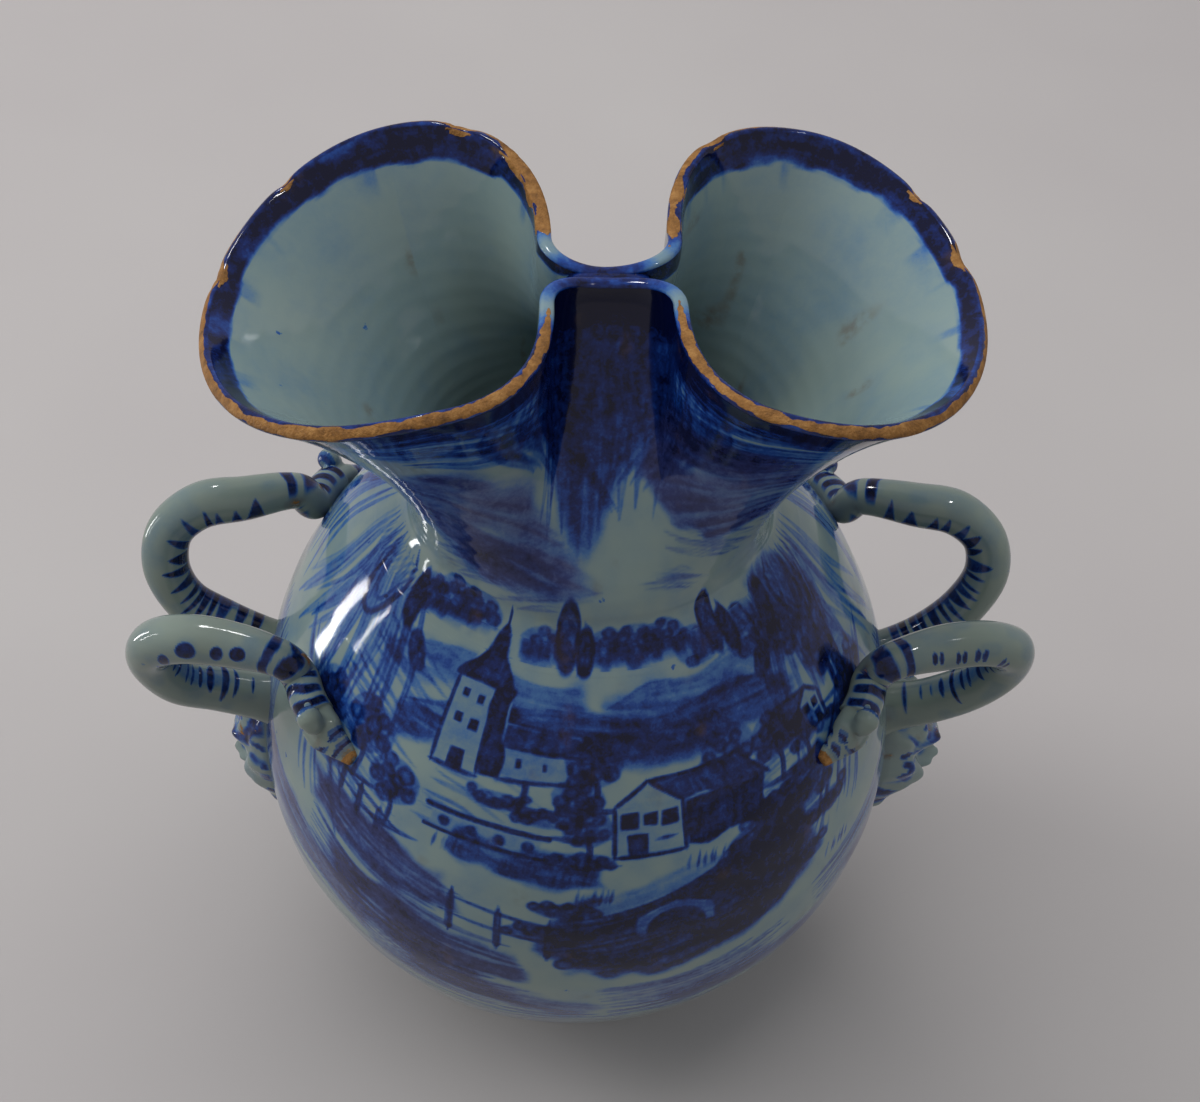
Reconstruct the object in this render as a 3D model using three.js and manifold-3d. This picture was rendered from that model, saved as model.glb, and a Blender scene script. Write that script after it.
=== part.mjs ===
// A tin-glazed earthenware flower vase: a thrown globe on a foot ring, a neck whose flared rim is
// pinched in the middle into two mouths, two pairs of coil handles ending in serpent heads, and a
// press-moulded mask under each pair.
// Millimetres, +Z up, -Y the front, +X the right side, origin at the middle of the resting face.
import * as THREE from "three";
import { mergeVertices } from "three/addons/utils/BufferGeometryUtils.js";
import Module from "manifold-3d";

const wasm = await Module();
wasm.setup();

// Clearance between pieces that are luted together
const seatGap = 0.3;

// Globe: outside radius, height of the fuller upper half if it were closed, wall, floor, and the hole
// under the neck
const globeRadius = 100;
const globeRise = 115;
const globeWall = 6;
const globeFloor = 8;
const throatRadius = 50;

// Foot ring: height, outside radius under the globe and on the table, and its width
const footHeight = 14;
const footSeatRadius = 47;
const footBaseRadius = 51;
const footWidth = 9;
const footBevel = 1.5;

// Neck: outside radius at its foot and at its narrowest, and walls
const collarRadius = 59;
const collarHeight = 9;
const neckRadius = 53;
const neckWall = 5;
const lipWall = 4;
const lipRound = 1.2;

// Mouths: rise of the lip's crest over the collar's seat, depth from front to back, the place of the
// deepest point and of the crest, and the lean of the walls at the lip
const mouthRise = 90;
const mouthHalfDepth = 64;
const mouthDeepestX = 56;
const mouthCrestX = 40;
const outerLean = THREE.MathUtils.degToRad(58);
const frontLean = THREE.MathUtils.degToRad(32);

// How strongly the neck's upright foot and its leaning lip pull on the wall between them
const footPull = 0.9;
const pinchedLipPull = 0.7;
const flaredLipPull = 1.05;

// Bridge: where the front and back lips are pressed together
const bridgeDip = 4;
const bridgeSeam = 0.6;
const seamDepth = 8;

// Handle coils: reach of the loop's middle line from the axis, and thickness of the loop and of the end
// that lies along the shoulder
const handleReach = 130;
const coilRadius = 7.2;
const coilEndRadius = 5.6;
const coilSink = 0.7;
const headLength = 20;

// Masks: height over the brow line, drop of the beard, and width
const maskBrow = 8;
const maskBeard = 46;
const maskHalfWidth = 18;

// The two sides are formed by hand, and differ a little
const sides = [
  {
    name: "left", sign: -1, mouthReach: 107, mouthDroop: 23, bridgeHalf: 13.5,
    limbDrop: 19, maskRelief: 16,
  },
  {
    name: "right", sign: 1, mouthReach: 102.5, mouthDroop: 12, bridgeHalf: 17.5,
    limbDrop: 15, maskRelief: 29,
  },
];

// Places that follow from the sizes above
const globeSeatZ = footHeight + seatGap;
const globeCentreZ = globeSeatZ + Math.sqrt(globeRadius ** 2 - footSeatRadius ** 2);
const heightOnGlobe = (radius) =>
  (globeRise + seatGap) * Math.sqrt(1 - (radius / (globeRadius + seatGap)) ** 2);
const collarZ = heightOnGlobe(collarRadius);
const neckZ = collarZ + collarHeight;
const lipCrestZ = collarZ + mouthRise;

// Fineness of the faceted surfaces
const roundSteps = 56;
const columnsPerQuarter = 17;
const wallRows = 8;
const coilSides = 12;

const glaze = { color: 0xa9b8c4, roughness: 0.25, metalness: 0 };
const cobaltGlaze = { color: 0x6f86b4, roughness: 0.22, metalness: 0 };
const coilGlaze = { color: 0x9fb0b6, roughness: 0.28, metalness: 0 };
const footGlaze = { color: 0xb9a98c, roughness: 0.7, metalness: 0 };

function toSolid(geometry) {
  const bare = geometry.clone();
  bare.deleteAttribute("normal");
  bare.deleteAttribute("uv");
  const merged = mergeVertices(bare, 1e-4);
  const mesh = new wasm.Mesh({
    numProp: 3,
    vertProperties: merged.attributes.position.array,
    triVerts: new Uint32Array(merged.index.array),
  });
  return new wasm.Manifold(mesh);
}

function toGeometry(solid) {
  const mesh = solid.getMesh();
  const geometry = new THREE.BufferGeometry();
  geometry.setAttribute("position", new THREE.BufferAttribute(mesh.vertProperties, mesh.numProp));
  geometry.setIndex(new THREE.BufferAttribute(mesh.triVerts, 1));
  geometry.computeVertexNormals();
  return geometry;
}

// A closed surface through rings of equally many points. The ends are joined to each other, as in
// the wall of a tube, or each is closed by a fan of triangles.
function loftRings(rings, joinEnds) {
  const count = rings[0].length;
  const points = rings.flat();
  const faces = [];
  const spans = joinEnds ? rings.length : rings.length - 1;
  for (let i = 0; i < spans; i += 1) {
    const here = i * count;
    const next = ((i + 1) % rings.length) * count;
    for (let j = 0; j < count; j += 1) {
      const k = (j + 1) % count;
      faces.push(here + j, here + k, next + k, here + j, next + k, next + j);
    }
  }
  if (!joinEnds) {
    const centreOf = (ring) => ring.reduce((sum, p) => sum.add(p), new THREE.Vector3()).divideScalar(count);
    const last = (rings.length - 1) * count;
    points.push(centreOf(rings[0]), centreOf(rings[rings.length - 1]));
    for (let j = 0; j < count; j += 1) {
      const k = (j + 1) % count;
      faces.push(points.length - 2, k, j, points.length - 1, last + j, last + k);
    }
  }
  const geometry = new THREE.BufferGeometry().setFromPoints(points);
  geometry.setIndex(faces);
  geometry.computeVertexNormals();
  return geometry;
}

// A coil of clay along a curve, with a radius for each share of its length.
function coilGeometry(curve, radiusAt, steps) {
  const frames = curve.computeFrenetFrames(steps, false);
  const rings = [];
  for (let i = 0; i <= steps; i += 1) {
    const centre = curve.getPointAt(i / steps);
    const radius = radiusAt(i / steps);
    const ring = [];
    for (let j = 0; j < coilSides; j += 1) {
      const turn = (2 * Math.PI * j) / coilSides;
      const arm = frames.normals[i].clone().multiplyScalar(Math.cos(turn));
      arm.addScaledVector(frames.binormals[i], Math.sin(turn));
      ring.push(centre.clone().addScaledVector(arm, radius));
    }
    rings.push(ring);
  }
  return loftRings(rings, false);
}

// The globe's outside, a little enlarged, which shapes the seat of what is luted onto it.
function globeCutter() {
  const facetSag = 0.15;
  const enlarged = globeRadius + seatGap + facetSag;
  const ball = new THREE.SphereGeometry(enlarged, roundSteps, roundSteps / 2);
  ball.rotateX(Math.PI / 2);
  const places = ball.attributes.position;
  const stretch = (globeRise + seatGap + facetSag) / enlarged;
  for (let i = 0; i < places.count; i += 1) {
    if (places.getZ(i) > 0) places.setZ(i, places.getZ(i) * stretch);
  }
  return toSolid(ball);
}
const cutter = globeCutter();

// The globe's profile at a depth under its outside, from a radius low down to a radius high up.
function globeArc(depth, lowRadius, highRadius, steps) {
  const radius = globeRadius - depth;
  const start = -Math.acos(lowRadius / radius);
  const end = Math.acos(highRadius / radius);
  const points = [];
  for (let i = 0; i <= steps; i += 1) {
    const angle = start + ((end - start) * i) / steps;
    const tall = angle > 0 ? globeRise - depth : radius;
    points.push(new THREE.Vector2(radius * Math.cos(angle), globeCentreZ + tall * Math.sin(angle)));
  }
  return points;
}

// LatheGeometry turns about Y, and the vase stands along Z.
function turned(profile) {
  const geometry = new THREE.LatheGeometry(profile, roundSteps);
  geometry.rotateX(Math.PI / 2);
  return toGeometry(toSolid(geometry));
}

function globeGeometry() {
  const innerRadius = globeRadius - globeWall;
  const floorTop = globeSeatZ + globeFloor;
  const floorRadius = Math.sqrt(innerRadius ** 2 - (globeCentreZ - floorTop) ** 2);
  const outside = globeArc(0, footSeatRadius, throatRadius, 16);
  const inside = globeArc(globeWall, floorRadius, throatRadius, 13).reverse();
  return turned([
    new THREE.Vector2(0, globeSeatZ),
    ...outside,
    ...inside,
    new THREE.Vector2(0, floorTop),
  ]);
}

function footGeometry() {
  const seatInner = footSeatRadius - footWidth;
  const baseInner = footBaseRadius - footWidth;
  return turned([
    new THREE.Vector2(baseInner + footBevel, 0),
    new THREE.Vector2(footBaseRadius - footBevel, 0),
    new THREE.Vector2(footBaseRadius, footBevel),
    new THREE.Vector2(footBaseRadius - footBevel / 2, footHeight / 3),
    new THREE.Vector2(footSeatRadius, footHeight),
    new THREE.Vector2(seatInner, footHeight),
    new THREE.Vector2(baseInner, footBevel),
    new THREE.Vector2(baseInner + footBevel, 0),
  ]);
}

// A quarter of the rim seen from above: from the far end of a mouth, round its deepest point and
// along its inner side, to the middle of the bridge.
function rimQuarter(side) {
  const reach = side.mouthReach;
  const seamY = lipWall + bridgeSeam / 2;
  const innerTurnY = seamY + 10;
  const rim = new THREE.CurvePath();
  const cubic = (...xy) => {
    const points = [];
    for (let i = 0; i < xy.length; i += 2) points.push(new THREE.Vector2(xy[i], xy[i + 1]));
    return new THREE.CubicBezierCurve(...points);
  };
  const farSpan = reach - mouthDeepestX;
  const nearSpan = mouthDeepestX - side.bridgeHalf;
  rim.add(cubic(
    reach, 0,
    reach, 0.55 * mouthHalfDepth,
    mouthDeepestX + 0.57 * farSpan, mouthHalfDepth,
    mouthDeepestX, mouthHalfDepth,
  ));
  rim.add(cubic(
    mouthDeepestX, mouthHalfDepth,
    mouthDeepestX - 0.6 * nearSpan, mouthHalfDepth,
    side.bridgeHalf, 0.78 * mouthHalfDepth,
    side.bridgeHalf, innerTurnY,
  ));
  rim.add(cubic(
    side.bridgeHalf, innerTurnY,
    side.bridgeHalf, seamY + 3,
    0.62 * side.bridgeHalf, seamY,
    0, seamY,
  ));
  return rim;
}

function lipHeight(x, side) {
  const beyond = Math.max(0, Math.abs(x) - mouthCrestX) / (side.mouthReach - mouthCrestX);
  const towardBridge = 1 - THREE.MathUtils.smoothstep(Math.abs(x), 0, 1.7 * side.bridgeHalf);
  return lipCrestZ - side.mouthDroop * beyond ** 1.6 - bridgeDip * towardBridge;
}

// One column of the neck's outside, from the neck's narrowest ring up to the lip. Its place round
// the neck is quarter + share, where share runs from 0 at a mouth's far end to 1 at the bridge.
function neckColumn(signX, signY, share) {
  const side = sides.find((s) => s.sign === signX);
  const angle = (share * Math.PI) / 2;
  const along = 1 - (1 - share) ** 1.25;
  const rim = rimQuarter(side);
  const lip = rim.getPointAt(along);
  const tangent = rim.getTangentAt(along);
  const foot = new THREE.Vector3(neckRadius * Math.cos(angle), neckRadius * Math.sin(angle), neckZ);
  const top = new THREE.Vector3(lip.x, lip.y, lipHeight(lip.x, side));
  const farShare = Math.max(0, tangent.y);
  const spread = tangent.y < 0 ? Math.max(0, -tangent.x) * (lip.y / mouthHalfDepth) : 1;
  const angleOut = spread * THREE.MathUtils.lerp(frontLean, outerLean, farShare);
  const rise = top.z - foot.z;
  const place = new THREE.Vector3(signX, signY, 1);
  const up = new THREE.Vector3(0, 0, footPull * rise);
  const lean = new THREE.Vector3(tangent.y, -tangent.x, 0).multiplyScalar(Math.sin(angleOut));
  lean.z = Math.cos(angleOut);
  lean.multiplyScalar(THREE.MathUtils.lerp(pinchedLipPull, flaredLipPull, spread) * rise);
  return (t) => {
    const point = foot.clone().multiplyScalar((1 + 2 * t) * (1 - t) ** 2);
    point.addScaledVector(top, t * t * (3 - 2 * t));
    point.addScaledVector(up, t * (1 - t) ** 2);
    point.addScaledVector(lean, t * t * (t - 1));
    return point.multiply(place);
  };
}

function neckColumns() {
  const columns = [];
  const quarters = [[1, 1], [-1, 1], [-1, -1], [1, -1]];
  quarters.forEach(([signX, signY], quarter) => {
    for (let j = 0; j < columnsPerQuarter; j += 1) {
      const step = j / columnsPerQuarter;
      columns.push(neckColumn(signX, signY, quarter % 2 === 0 ? step : 1 - step));
    }
  });
  return columns;
}

// The inside of the wall, found by stepping in along the outside's normal.
function insideRing(columns, t, wall) {
  const reach = 0.02;
  const low = Math.max(0, t - reach);
  const high = Math.min(1, t + reach);
  return columns.map((column, j) => {
    const before = columns[(j + columns.length - 1) % columns.length](t);
    const after = columns[(j + 1) % columns.length](t);
    const round = after.sub(before);
    const rise = column(high).sub(column(low));
    const normal = round.cross(rise).normalize();
    return column(t).addScaledVector(normal, -wall);
  });
}

function circleRing(count, radius, z) {
  const ring = [];
  for (let j = 0; j < count; j += 1) {
    const angle = (2 * Math.PI * j) / count;
    ring.push(new THREE.Vector3(radius * Math.cos(angle), radius * Math.sin(angle), z));
  }
  return ring;
}

function neckGeometry() {
  const columns = neckColumns();
  const rings = [];
  const collarSteps = 3;
  for (let i = 0; i < collarSteps; i += 1) {
    const turn = (i / collarSteps) * (Math.PI / 2);
    const radius = collarRadius - (collarRadius - neckRadius) * Math.sin(turn);
    rings.push(circleRing(columns.length, radius, neckZ - collarHeight * Math.cos(turn)));
  }
  for (let i = 0; i <= wallRows; i += 1) {
    rings.push(columns.map((column) => column(i / wallRows)));
  }
  const outerLip = rings[rings.length - 1];
  const innerLip = insideRing(columns, 1, lipWall);
  for (const share of [0.25, 0.75]) {
    rings.push(outerLip.map((p, j) => {
      const point = p.clone().lerp(innerLip[j], share);
      point.z += lipRound;
      return point;
    }));
  }
  for (let i = wallRows; i >= 0; i -= 1) {
    const t = i / wallRows;
    rings.push(insideRing(columns, t, THREE.MathUtils.lerp(neckWall, lipWall, t)));
  }
  const boreRadius = neckRadius - neckWall;
  const middleRadius = (boreRadius + collarRadius) / 2;
  rings.push(circleRing(columns.length, boreRadius, heightOnGlobe(boreRadius)));
  rings.push(circleRing(columns.length, middleRadius, heightOnGlobe(middleRadius)));
  const wall = toSolid(loftRings(rings, true));
  return toGeometry(wall.add(bridgeSolid()).translate([0, 0, globeCentreZ]));
}

// The clay that closes the seam between the two lips.
function bridgeSolid() {
  const top = lipCrestZ - bridgeDip + lipRound / 2;
  const [leftEnd, rightEnd] = sides.map((side) => 0.72 * side.bridgeHalf);
  const section = new THREE.Shape();
  section.moveTo(-lipWall / 2, top);
  section.lineTo(-lipWall, top - seamDepth);
  section.lineTo(lipWall, top - seamDepth);
  section.lineTo(lipWall / 2, top);
  section.closePath();
  const bar = new THREE.ExtrudeGeometry(section, { depth: leftEnd + rightEnd, bevelEnabled: false });
  bar.translate(0, 0, -leftEnd);
  bar.applyMatrix4(new THREE.Matrix4().makeBasis(
    new THREE.Vector3(0, 1, 0),
    new THREE.Vector3(0, 0, 1),
    new THREE.Vector3(1, 0, 0),
  ));
  return toSolid(bar);
}

// A point over the globe's right side, at a height square to its outside.
function overGlobe(y, z, height) {
  const tall = z > 0 ? globeRise : globeRadius;
  const girth = globeRadius * Math.sqrt(1 - (z / tall) ** 2);
  const point = new THREE.Vector3(Math.sqrt(girth ** 2 - y ** 2), y, z);
  const normal = new THREE.Vector3(point.x, y, (z * globeRadius ** 2) / tall ** 2).normalize();
  return point.addScaledVector(normal, height);
}

const coilLift = coilEndRadius - coilSink;

// The middle line of a serpent, for the right side's back one: out of the brow of the mask, round the
// loop, down onto the shoulder and along it to the tip of the lower jaw. x shares are of the loop's
// reach past the globe.
function serpentCurve(side) {
  const loop = (share, y, z) => new THREE.Vector3(
    globeRadius + share * (handleReach - globeRadius), y, z,
  );
  const points = [
    overGlobe(10.5, side.limbDrop - 1.5, -coilRadius / 2),
    loop(0.42, 13.5, side.limbDrop + 7),
    loop(0.81, 16.5, 33),
    loop(1, 19.5, 46),
    loop(0.93, 23.5, 57.5),
    loop(0.62, 27.5, 64.5),
    loop(0.2, 30, 65.5),
    overGlobe(31.5, 59, coilLift + 6),
    overGlobe(34.5, 56, coilLift),
    overGlobe(41.5, 54.5, coilLift),
    overGlobe(51, 52.5, 0.8 * coilLift),
    overGlobe(60, 49.5, 0.3 * coilLift),
  ];
  return new THREE.CatmullRomCurve3(points, false, "centripetal");
}

function stretchOf(curve, from, to) {
  const stretch = new THREE.Curve();
  stretch.getPoint = (t, target) => curve.getPointAt(THREE.MathUtils.lerp(from, to, t), target);
  return stretch;
}

function placed(geometry, signX, signY) {
  const mirrored = geometry.clone();
  mirrored.scale(signX, signY, 1);
  mirrored.translate(0, 0, globeCentreZ);
  if (signX * signY < 0) {
    const index = mirrored.index.array;
    for (let i = 0; i < index.length; i += 3) [index[i + 1], index[i + 2]] = [index[i + 2], index[i + 1]];
  }
  return mirrored;
}

// The share of the serpent's length at which its head begins.
function headStart(side) {
  return 1 - headLength / serpentCurve(side).getLength();
}

function handleCoil(side, extra) {
  const radiusAt = (share) => extra + THREE.MathUtils.lerp(
    coilRadius, coilEndRadius, THREE.MathUtils.smoothstep(share, 0.6, 0.9),
  );
  const coil = stretchOf(serpentCurve(side), 0, headStart(side));
  return toSolid(coilGeometry(coil, radiusAt, 30));
}

// A serpent head: a long lower jaw, and a short upper jaw that curls back into a knob.
function headGeometry(side) {
  const serpent = serpentCurve(side);
  const gapShare = seatGap / serpent.getLength();
  const jaw = stretchOf(serpent, headStart(side) + gapShare, 1);
  const off = (share, up, out) => {
    const point = jaw.getPoint(share);
    point.addScaledVector(point.clone().normalize(), out);
    point.z += up;
    return point;
  };
  const snout = new THREE.CatmullRomCurve3([off(0.3, 1, 0), off(0.4, 4.5, 1), off(0.45, 8, 1)]);
  const jawRadius = (share) => coilEndRadius * (1 - 0.8 * share ** 2);
  const snoutRadius = (share) => coilEndRadius * (0.68 - 0.08 * share);
  const lower = toSolid(coilGeometry(jaw, jawRadius, 8));
  const upper = toSolid(coilGeometry(snout, snoutRadius, 4));
  return toGeometry(lower.add(upper).subtract(cutter));
}

// The mask's relief over the globe, across and up from its middle in millimetres, as a share of its
// full height: a domed face with brow, nose, cheeks, open mouth and a beard.
function maskRelief(across, up) {
  const bump = (a, u, widthA, widthU) => Math.exp(
    -(((across - a) / widthA) ** 2) - ((up - u) / widthU) ** 2,
  );
  const mirrored = (a, u, widthA, widthU) => bump(a, u, widthA, widthU) + bump(-a, u, widthA, widthU);
  return 0.5
    + 0.16 * bump(0, -4, 12, 5)
    + 0.34 * bump(0, -14, 3.4, 6)
    + 0.12 * mirrored(9.5, -18, 5, 6)
    - 0.14 * mirrored(6.5, -10, 3, 2.6)
    - 0.14 * bump(0, -26, 5.5, 2.2)
    + 0.18 * bump(0, -34, 8, 6);
}

function maskGeometry(side) {
  const top = side.limbDrop - maskBrow + coilRadius;
  const middleUp = (top - maskBeard) / 2;
  const halfHeight = (top + maskBeard) / 2;
  const around = 28;
  const ringOf = (share, heightAt) => {
    const ring = [];
    for (let j = 0; j < around; j += 1) {
      const turn = (2 * Math.PI * j) / around;
      const up = middleUp + share * halfHeight * Math.sin(turn);
      const taper = 1 - 0.35 * Math.max(0, -Math.sin(turn)) * share;
      const across = share * maskHalfWidth * taper * Math.cos(turn);
      ring.push(overGlobe(across, up, heightAt(across, up)));
    }
    return ring;
  };
  const buried = () => -0.5 * globeWall;
  const rings = [ringOf(0.3, buried), ringOf(1, buried), ringOf(1, () => 0.15 * side.maskRelief)];
  for (const share of [0.96, 0.84, 0.68, 0.52, 0.36, 0.2, 0.08]) {
    const edge = Math.min(1, 0.62 + 3 * (1 - share));
    rings.push(ringOf(share, (across, up) => side.maskRelief * edge * maskRelief(across, up)));
  }
  const block = toSolid(loftRings(rings, false)).subtract(cutter);
  const backCoil = handleCoil(side, seatGap);
  const frontCoil = backCoil.mirror([0, 1, 0]);
  return toGeometry(block.subtract(backCoil).subtract(frontCoil));
}

function named(name, geometry, look) {
  const mesh = new THREE.Mesh(geometry, new THREE.MeshStandardMaterial(look));
  mesh.name = name;
  return mesh;
}

const vase = new THREE.Group();
vase.add(named("foot_ring", footGeometry(), footGlaze));
vase.add(named("globe", globeGeometry(), glaze));
vase.add(named("double_mouth_neck", neckGeometry(), cobaltGlaze));
for (const side of sides) {
  const handle = toGeometry(handleCoil(side, 0).subtract(cutter));
  const head = headGeometry(side);
  for (const [place, signY] of [["front", -1], ["back", 1]]) {
    const label = `${side.name}_${place}`;
    vase.add(named(`handle_${label}`, placed(handle, side.sign, signY), coilGlaze));
    vase.add(named(`serpent_head_${label}`, placed(head, side.sign, signY), coilGlaze));
  }
  vase.add(named(`mask_${side.name}`, placed(maskGeometry(side), side.sign, 1), coilGlaze));
}

export default vase;
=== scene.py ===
"""A blue-and-white tin-glazed vase with a pinched double mouth, serpent handles and masks, on pale paper."""
import math

import bpy
import numpy as np
from mathutils import Matrix, Vector


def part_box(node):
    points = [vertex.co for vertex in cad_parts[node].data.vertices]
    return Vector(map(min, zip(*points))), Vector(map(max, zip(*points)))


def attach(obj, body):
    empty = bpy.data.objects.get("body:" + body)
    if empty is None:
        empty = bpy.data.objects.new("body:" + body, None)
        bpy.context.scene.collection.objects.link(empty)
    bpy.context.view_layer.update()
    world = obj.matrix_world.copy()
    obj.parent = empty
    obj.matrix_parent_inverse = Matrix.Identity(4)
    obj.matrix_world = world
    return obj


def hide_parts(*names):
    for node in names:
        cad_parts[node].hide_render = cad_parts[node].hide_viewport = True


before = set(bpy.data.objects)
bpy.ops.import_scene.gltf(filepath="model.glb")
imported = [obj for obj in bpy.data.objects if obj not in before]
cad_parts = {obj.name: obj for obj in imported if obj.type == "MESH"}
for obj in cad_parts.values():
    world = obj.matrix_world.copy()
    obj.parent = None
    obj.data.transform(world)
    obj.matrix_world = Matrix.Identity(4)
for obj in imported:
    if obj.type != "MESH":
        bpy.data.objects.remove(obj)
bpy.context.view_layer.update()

# Lengths are in millimetres here, and turn into metres when a mesh is made.
MM = 0.001

# Globe and foot, as in the frame
GLOBE_RADIUS = 100.0
GLOBE_RISE = 115.0
GLOBE_WALL = 6.0
GLOBE_FLOOR = 8.0
THROAT_RADIUS = 50.0
FOOT_SEAT_RADIUS = 47.0
FOOT_BASE_RADIUS = 51.0
FOOT_WIDTH = 9.0
FOOT_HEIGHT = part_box("foot_ring")[1].z / MM
SEAT_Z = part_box("globe")[0].z / MM
CENTRE_Z = SEAT_Z + math.sqrt(GLOBE_RADIUS ** 2 - FOOT_SEAT_RADIUS ** 2)

# Neck and mouths, measured from the globe's middle
COLLAR_RADIUS = 59.0
COLLAR_HEIGHT = 9.0
NECK_RADIUS = 53.0
NECK_WALL = 5.0
LIP_WALL = 4.0
LIP_ROUND = 1.5
MOUTH_RISE = 90.0
MOUTH_HALF_DEPTH = 64.0
MOUTH_DEEPEST_X = 56.0
MOUTH_CREST_X = 40.0
OUTER_LEAN = math.radians(58)
FRONT_LEAN = math.radians(32)
FOOT_PULL = 0.9
PINCHED_LIP_PULL = 0.7
FLARED_LIP_PULL = 1.05
BRIDGE_DIP = 4.0
BRIDGE_SEAM = 0.6
COLLAR_Z = GLOBE_RISE * math.sqrt(1 - (COLLAR_RADIUS / GLOBE_RADIUS) ** 2)
NECK_Z = COLLAR_Z + COLLAR_HEIGHT
LIP_CREST_Z = COLLAR_Z + MOUTH_RISE

# Handles and masks
HANDLE_REACH = 130.0
COIL_RADIUS = 7.2
COIL_END_RADIUS = 5.6
COIL_LIFT = COIL_END_RADIUS - 0.7
COIL_STEP = 0.5
HEAD_LENGTH = 20.0
MASK_BROW = 8.0
MASK_BEARD = 46.0
MASK_HALF_WIDTH = 18.0

SIDES = {
    "left": dict(sign=-1, reach=107.0, droop=23.0, bridge_half=13.5, limb_drop=19.0, relief=16.0),
    "right": dict(sign=1, reach=102.5, droop=12.0, bridge_half=17.5, limb_drop=15.0, relief=29.0),
}

# How finely the pieces are divided
NECK_ROWS = 141
INSIDE_ROWS = 90
FILLET_ROWS = 26
ROLL_ROWS = 15
COIL_AROUND = 72
TUBE_AROUND = 20
MASK_AROUND = 168
MASK_RINGS = 64


# Helpers for numbers and lines
def smoothstep(x, low, high):
    t = np.clip((np.asarray(x, float) - low) / (high - low), 0, 1)
    return t * t * (3 - 2 * t)


def bell(x, middle, width):
    return np.exp(-((np.asarray(x, float) - middle) / width) ** 2)


def from_front(degrees):
    return (degrees + 180) % 360 - 180


def lattice_noise(x, y, seed, wrap=None):
    """Smooth noise between 0 and 1, one lattice step to a unit. With wrap, x repeats after so many steps."""
    table = np.random.default_rng(seed).random((257, 257))
    x, y = np.broadcast_arrays(np.asarray(x, float), np.asarray(y, float))
    x0, y0 = np.floor(x).astype(int), np.floor(y).astype(int)
    fx, fy = smoothstep(x - x0, 0, 1), smoothstep(y - y0, 0, 1)
    repeat = wrap or 257
    xa, xb = x0 % repeat % 257, (x0 + 1) % repeat % 257
    ya, yb = y0 % 257, (y0 + 1) % 257
    low = table[ya, xa] * (1 - fx) + table[ya, xb] * fx
    high = table[yb, xa] * (1 - fx) + table[yb, xb] * fx
    return low * (1 - fy) + high * fy


def unit(vectors):
    return vectors / np.maximum(np.linalg.norm(vectors, axis=-1, keepdims=True), 1e-9)


def hermite(a, b, leave, arrive, t):
    """A smooth run from a to b, which leaves and arrives along the two directions given."""
    return (a * (1 + 2 * t) * (1 - t) ** 2 + b * t * t * (3 - 2 * t)
            + leave * t * (1 - t) ** 2 + arrive * t * t * (t - 1))


def with_ends(points):
    """The points with one more at either end, straight on."""
    return np.vstack([2 * points[0] - points[1], points, 2 * points[-1] - points[-2]])


def smooth_line(path, spacing):
    """A smooth line through points, with about one sample to a spacing."""
    points = np.array(path, float)
    if len(points) == 2:
        count = max(2, int(np.hypot(*(points[1] - points[0])) / spacing))
        return points[0] + np.linspace(0, 1, count)[:, None] * (points[1] - points[0])
    padded = with_ends(points)
    runs = []
    for i in range(1, len(padded) - 2):
        a, b, c, d = padded[i - 1:i + 3]
        count = max(2, int(np.hypot(*(c - b)) / spacing))
        t = np.linspace(0, 1, count, endpoint=False)[:, None]
        runs.append(hermite(b, c, (c - a) / 2, (d - b) / 2, t))
    return np.vstack([*runs, points[-1:]])


def centripetal_line(points, steps):
    """A smooth line through points that never overshoots where they are close together."""
    padded = with_ends(points)
    runs = []
    for i in range(1, len(padded) - 2):
        a, b, c, d = padded[i - 1:i + 3]
        ab, bc, cd = (np.linalg.norm(q - p) ** 0.5 for p, q in ((a, b), (b, c), (c, d)))
        leave = ((b - a) / ab - (c - a) / (ab + bc) + (c - b) / bc) * bc
        arrive = ((c - b) / bc - (d - b) / (bc + cd) + (d - c) / cd) * bc
        t = np.linspace(0, 1, steps, endpoint=False)[:, None]
        runs.append(hermite(b, c, leave, arrive, t))
    return np.vstack([*runs, points[-1:]])


def length_along(line):
    """The length of a line up to each of its points."""
    return np.concatenate([[0], np.cumsum(np.linalg.norm(np.diff(line, axis=0), axis=1))])


def at_lengths(line, length, at):
    return np.stack([np.interp(at, length, column) for column in line.T], -1)


def even_line(line, spacing):
    length = length_along(line)
    return at_lengths(line, length, np.linspace(0, length[-1], int(length[-1] / spacing) + 1))


# Helpers for meshes
def set_layers(mesh, layers):
    """Writes the glaze's four float layers on a mesh's points, with 0 where one isn't given."""
    blank = np.zeros(len(mesh.vertices))
    for layer in ("cobalt", "violet", "stain", "biscuit"):
        values = layers.get(layer, blank)
        attribute = mesh.attributes.new(layer, "FLOAT", "POINT")
        attribute.data.foreach_set("value", np.asarray(values, np.float32).ravel())


def link_object(name, data):
    thing = bpy.data.objects.new(name, data)
    bpy.context.scene.collection.objects.link(thing)
    return thing


def make_object(name, points, faces, material, layers=None):
    """A smooth mesh from points in millimetres round the globe's middle."""
    points = np.asarray(points, float).reshape(-1, 3) + (0, 0, CENTRE_Z)
    mesh = bpy.data.meshes.new(name)
    mesh.from_pydata((points * MM).tolist(), [], faces)
    mesh.polygons.foreach_set("use_smooth", np.ones(len(mesh.polygons), bool))
    if layers is not None:
        set_layers(mesh, layers)
    mesh.materials.append(material)
    mesh.update()
    return link_object(name, mesh)


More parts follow.
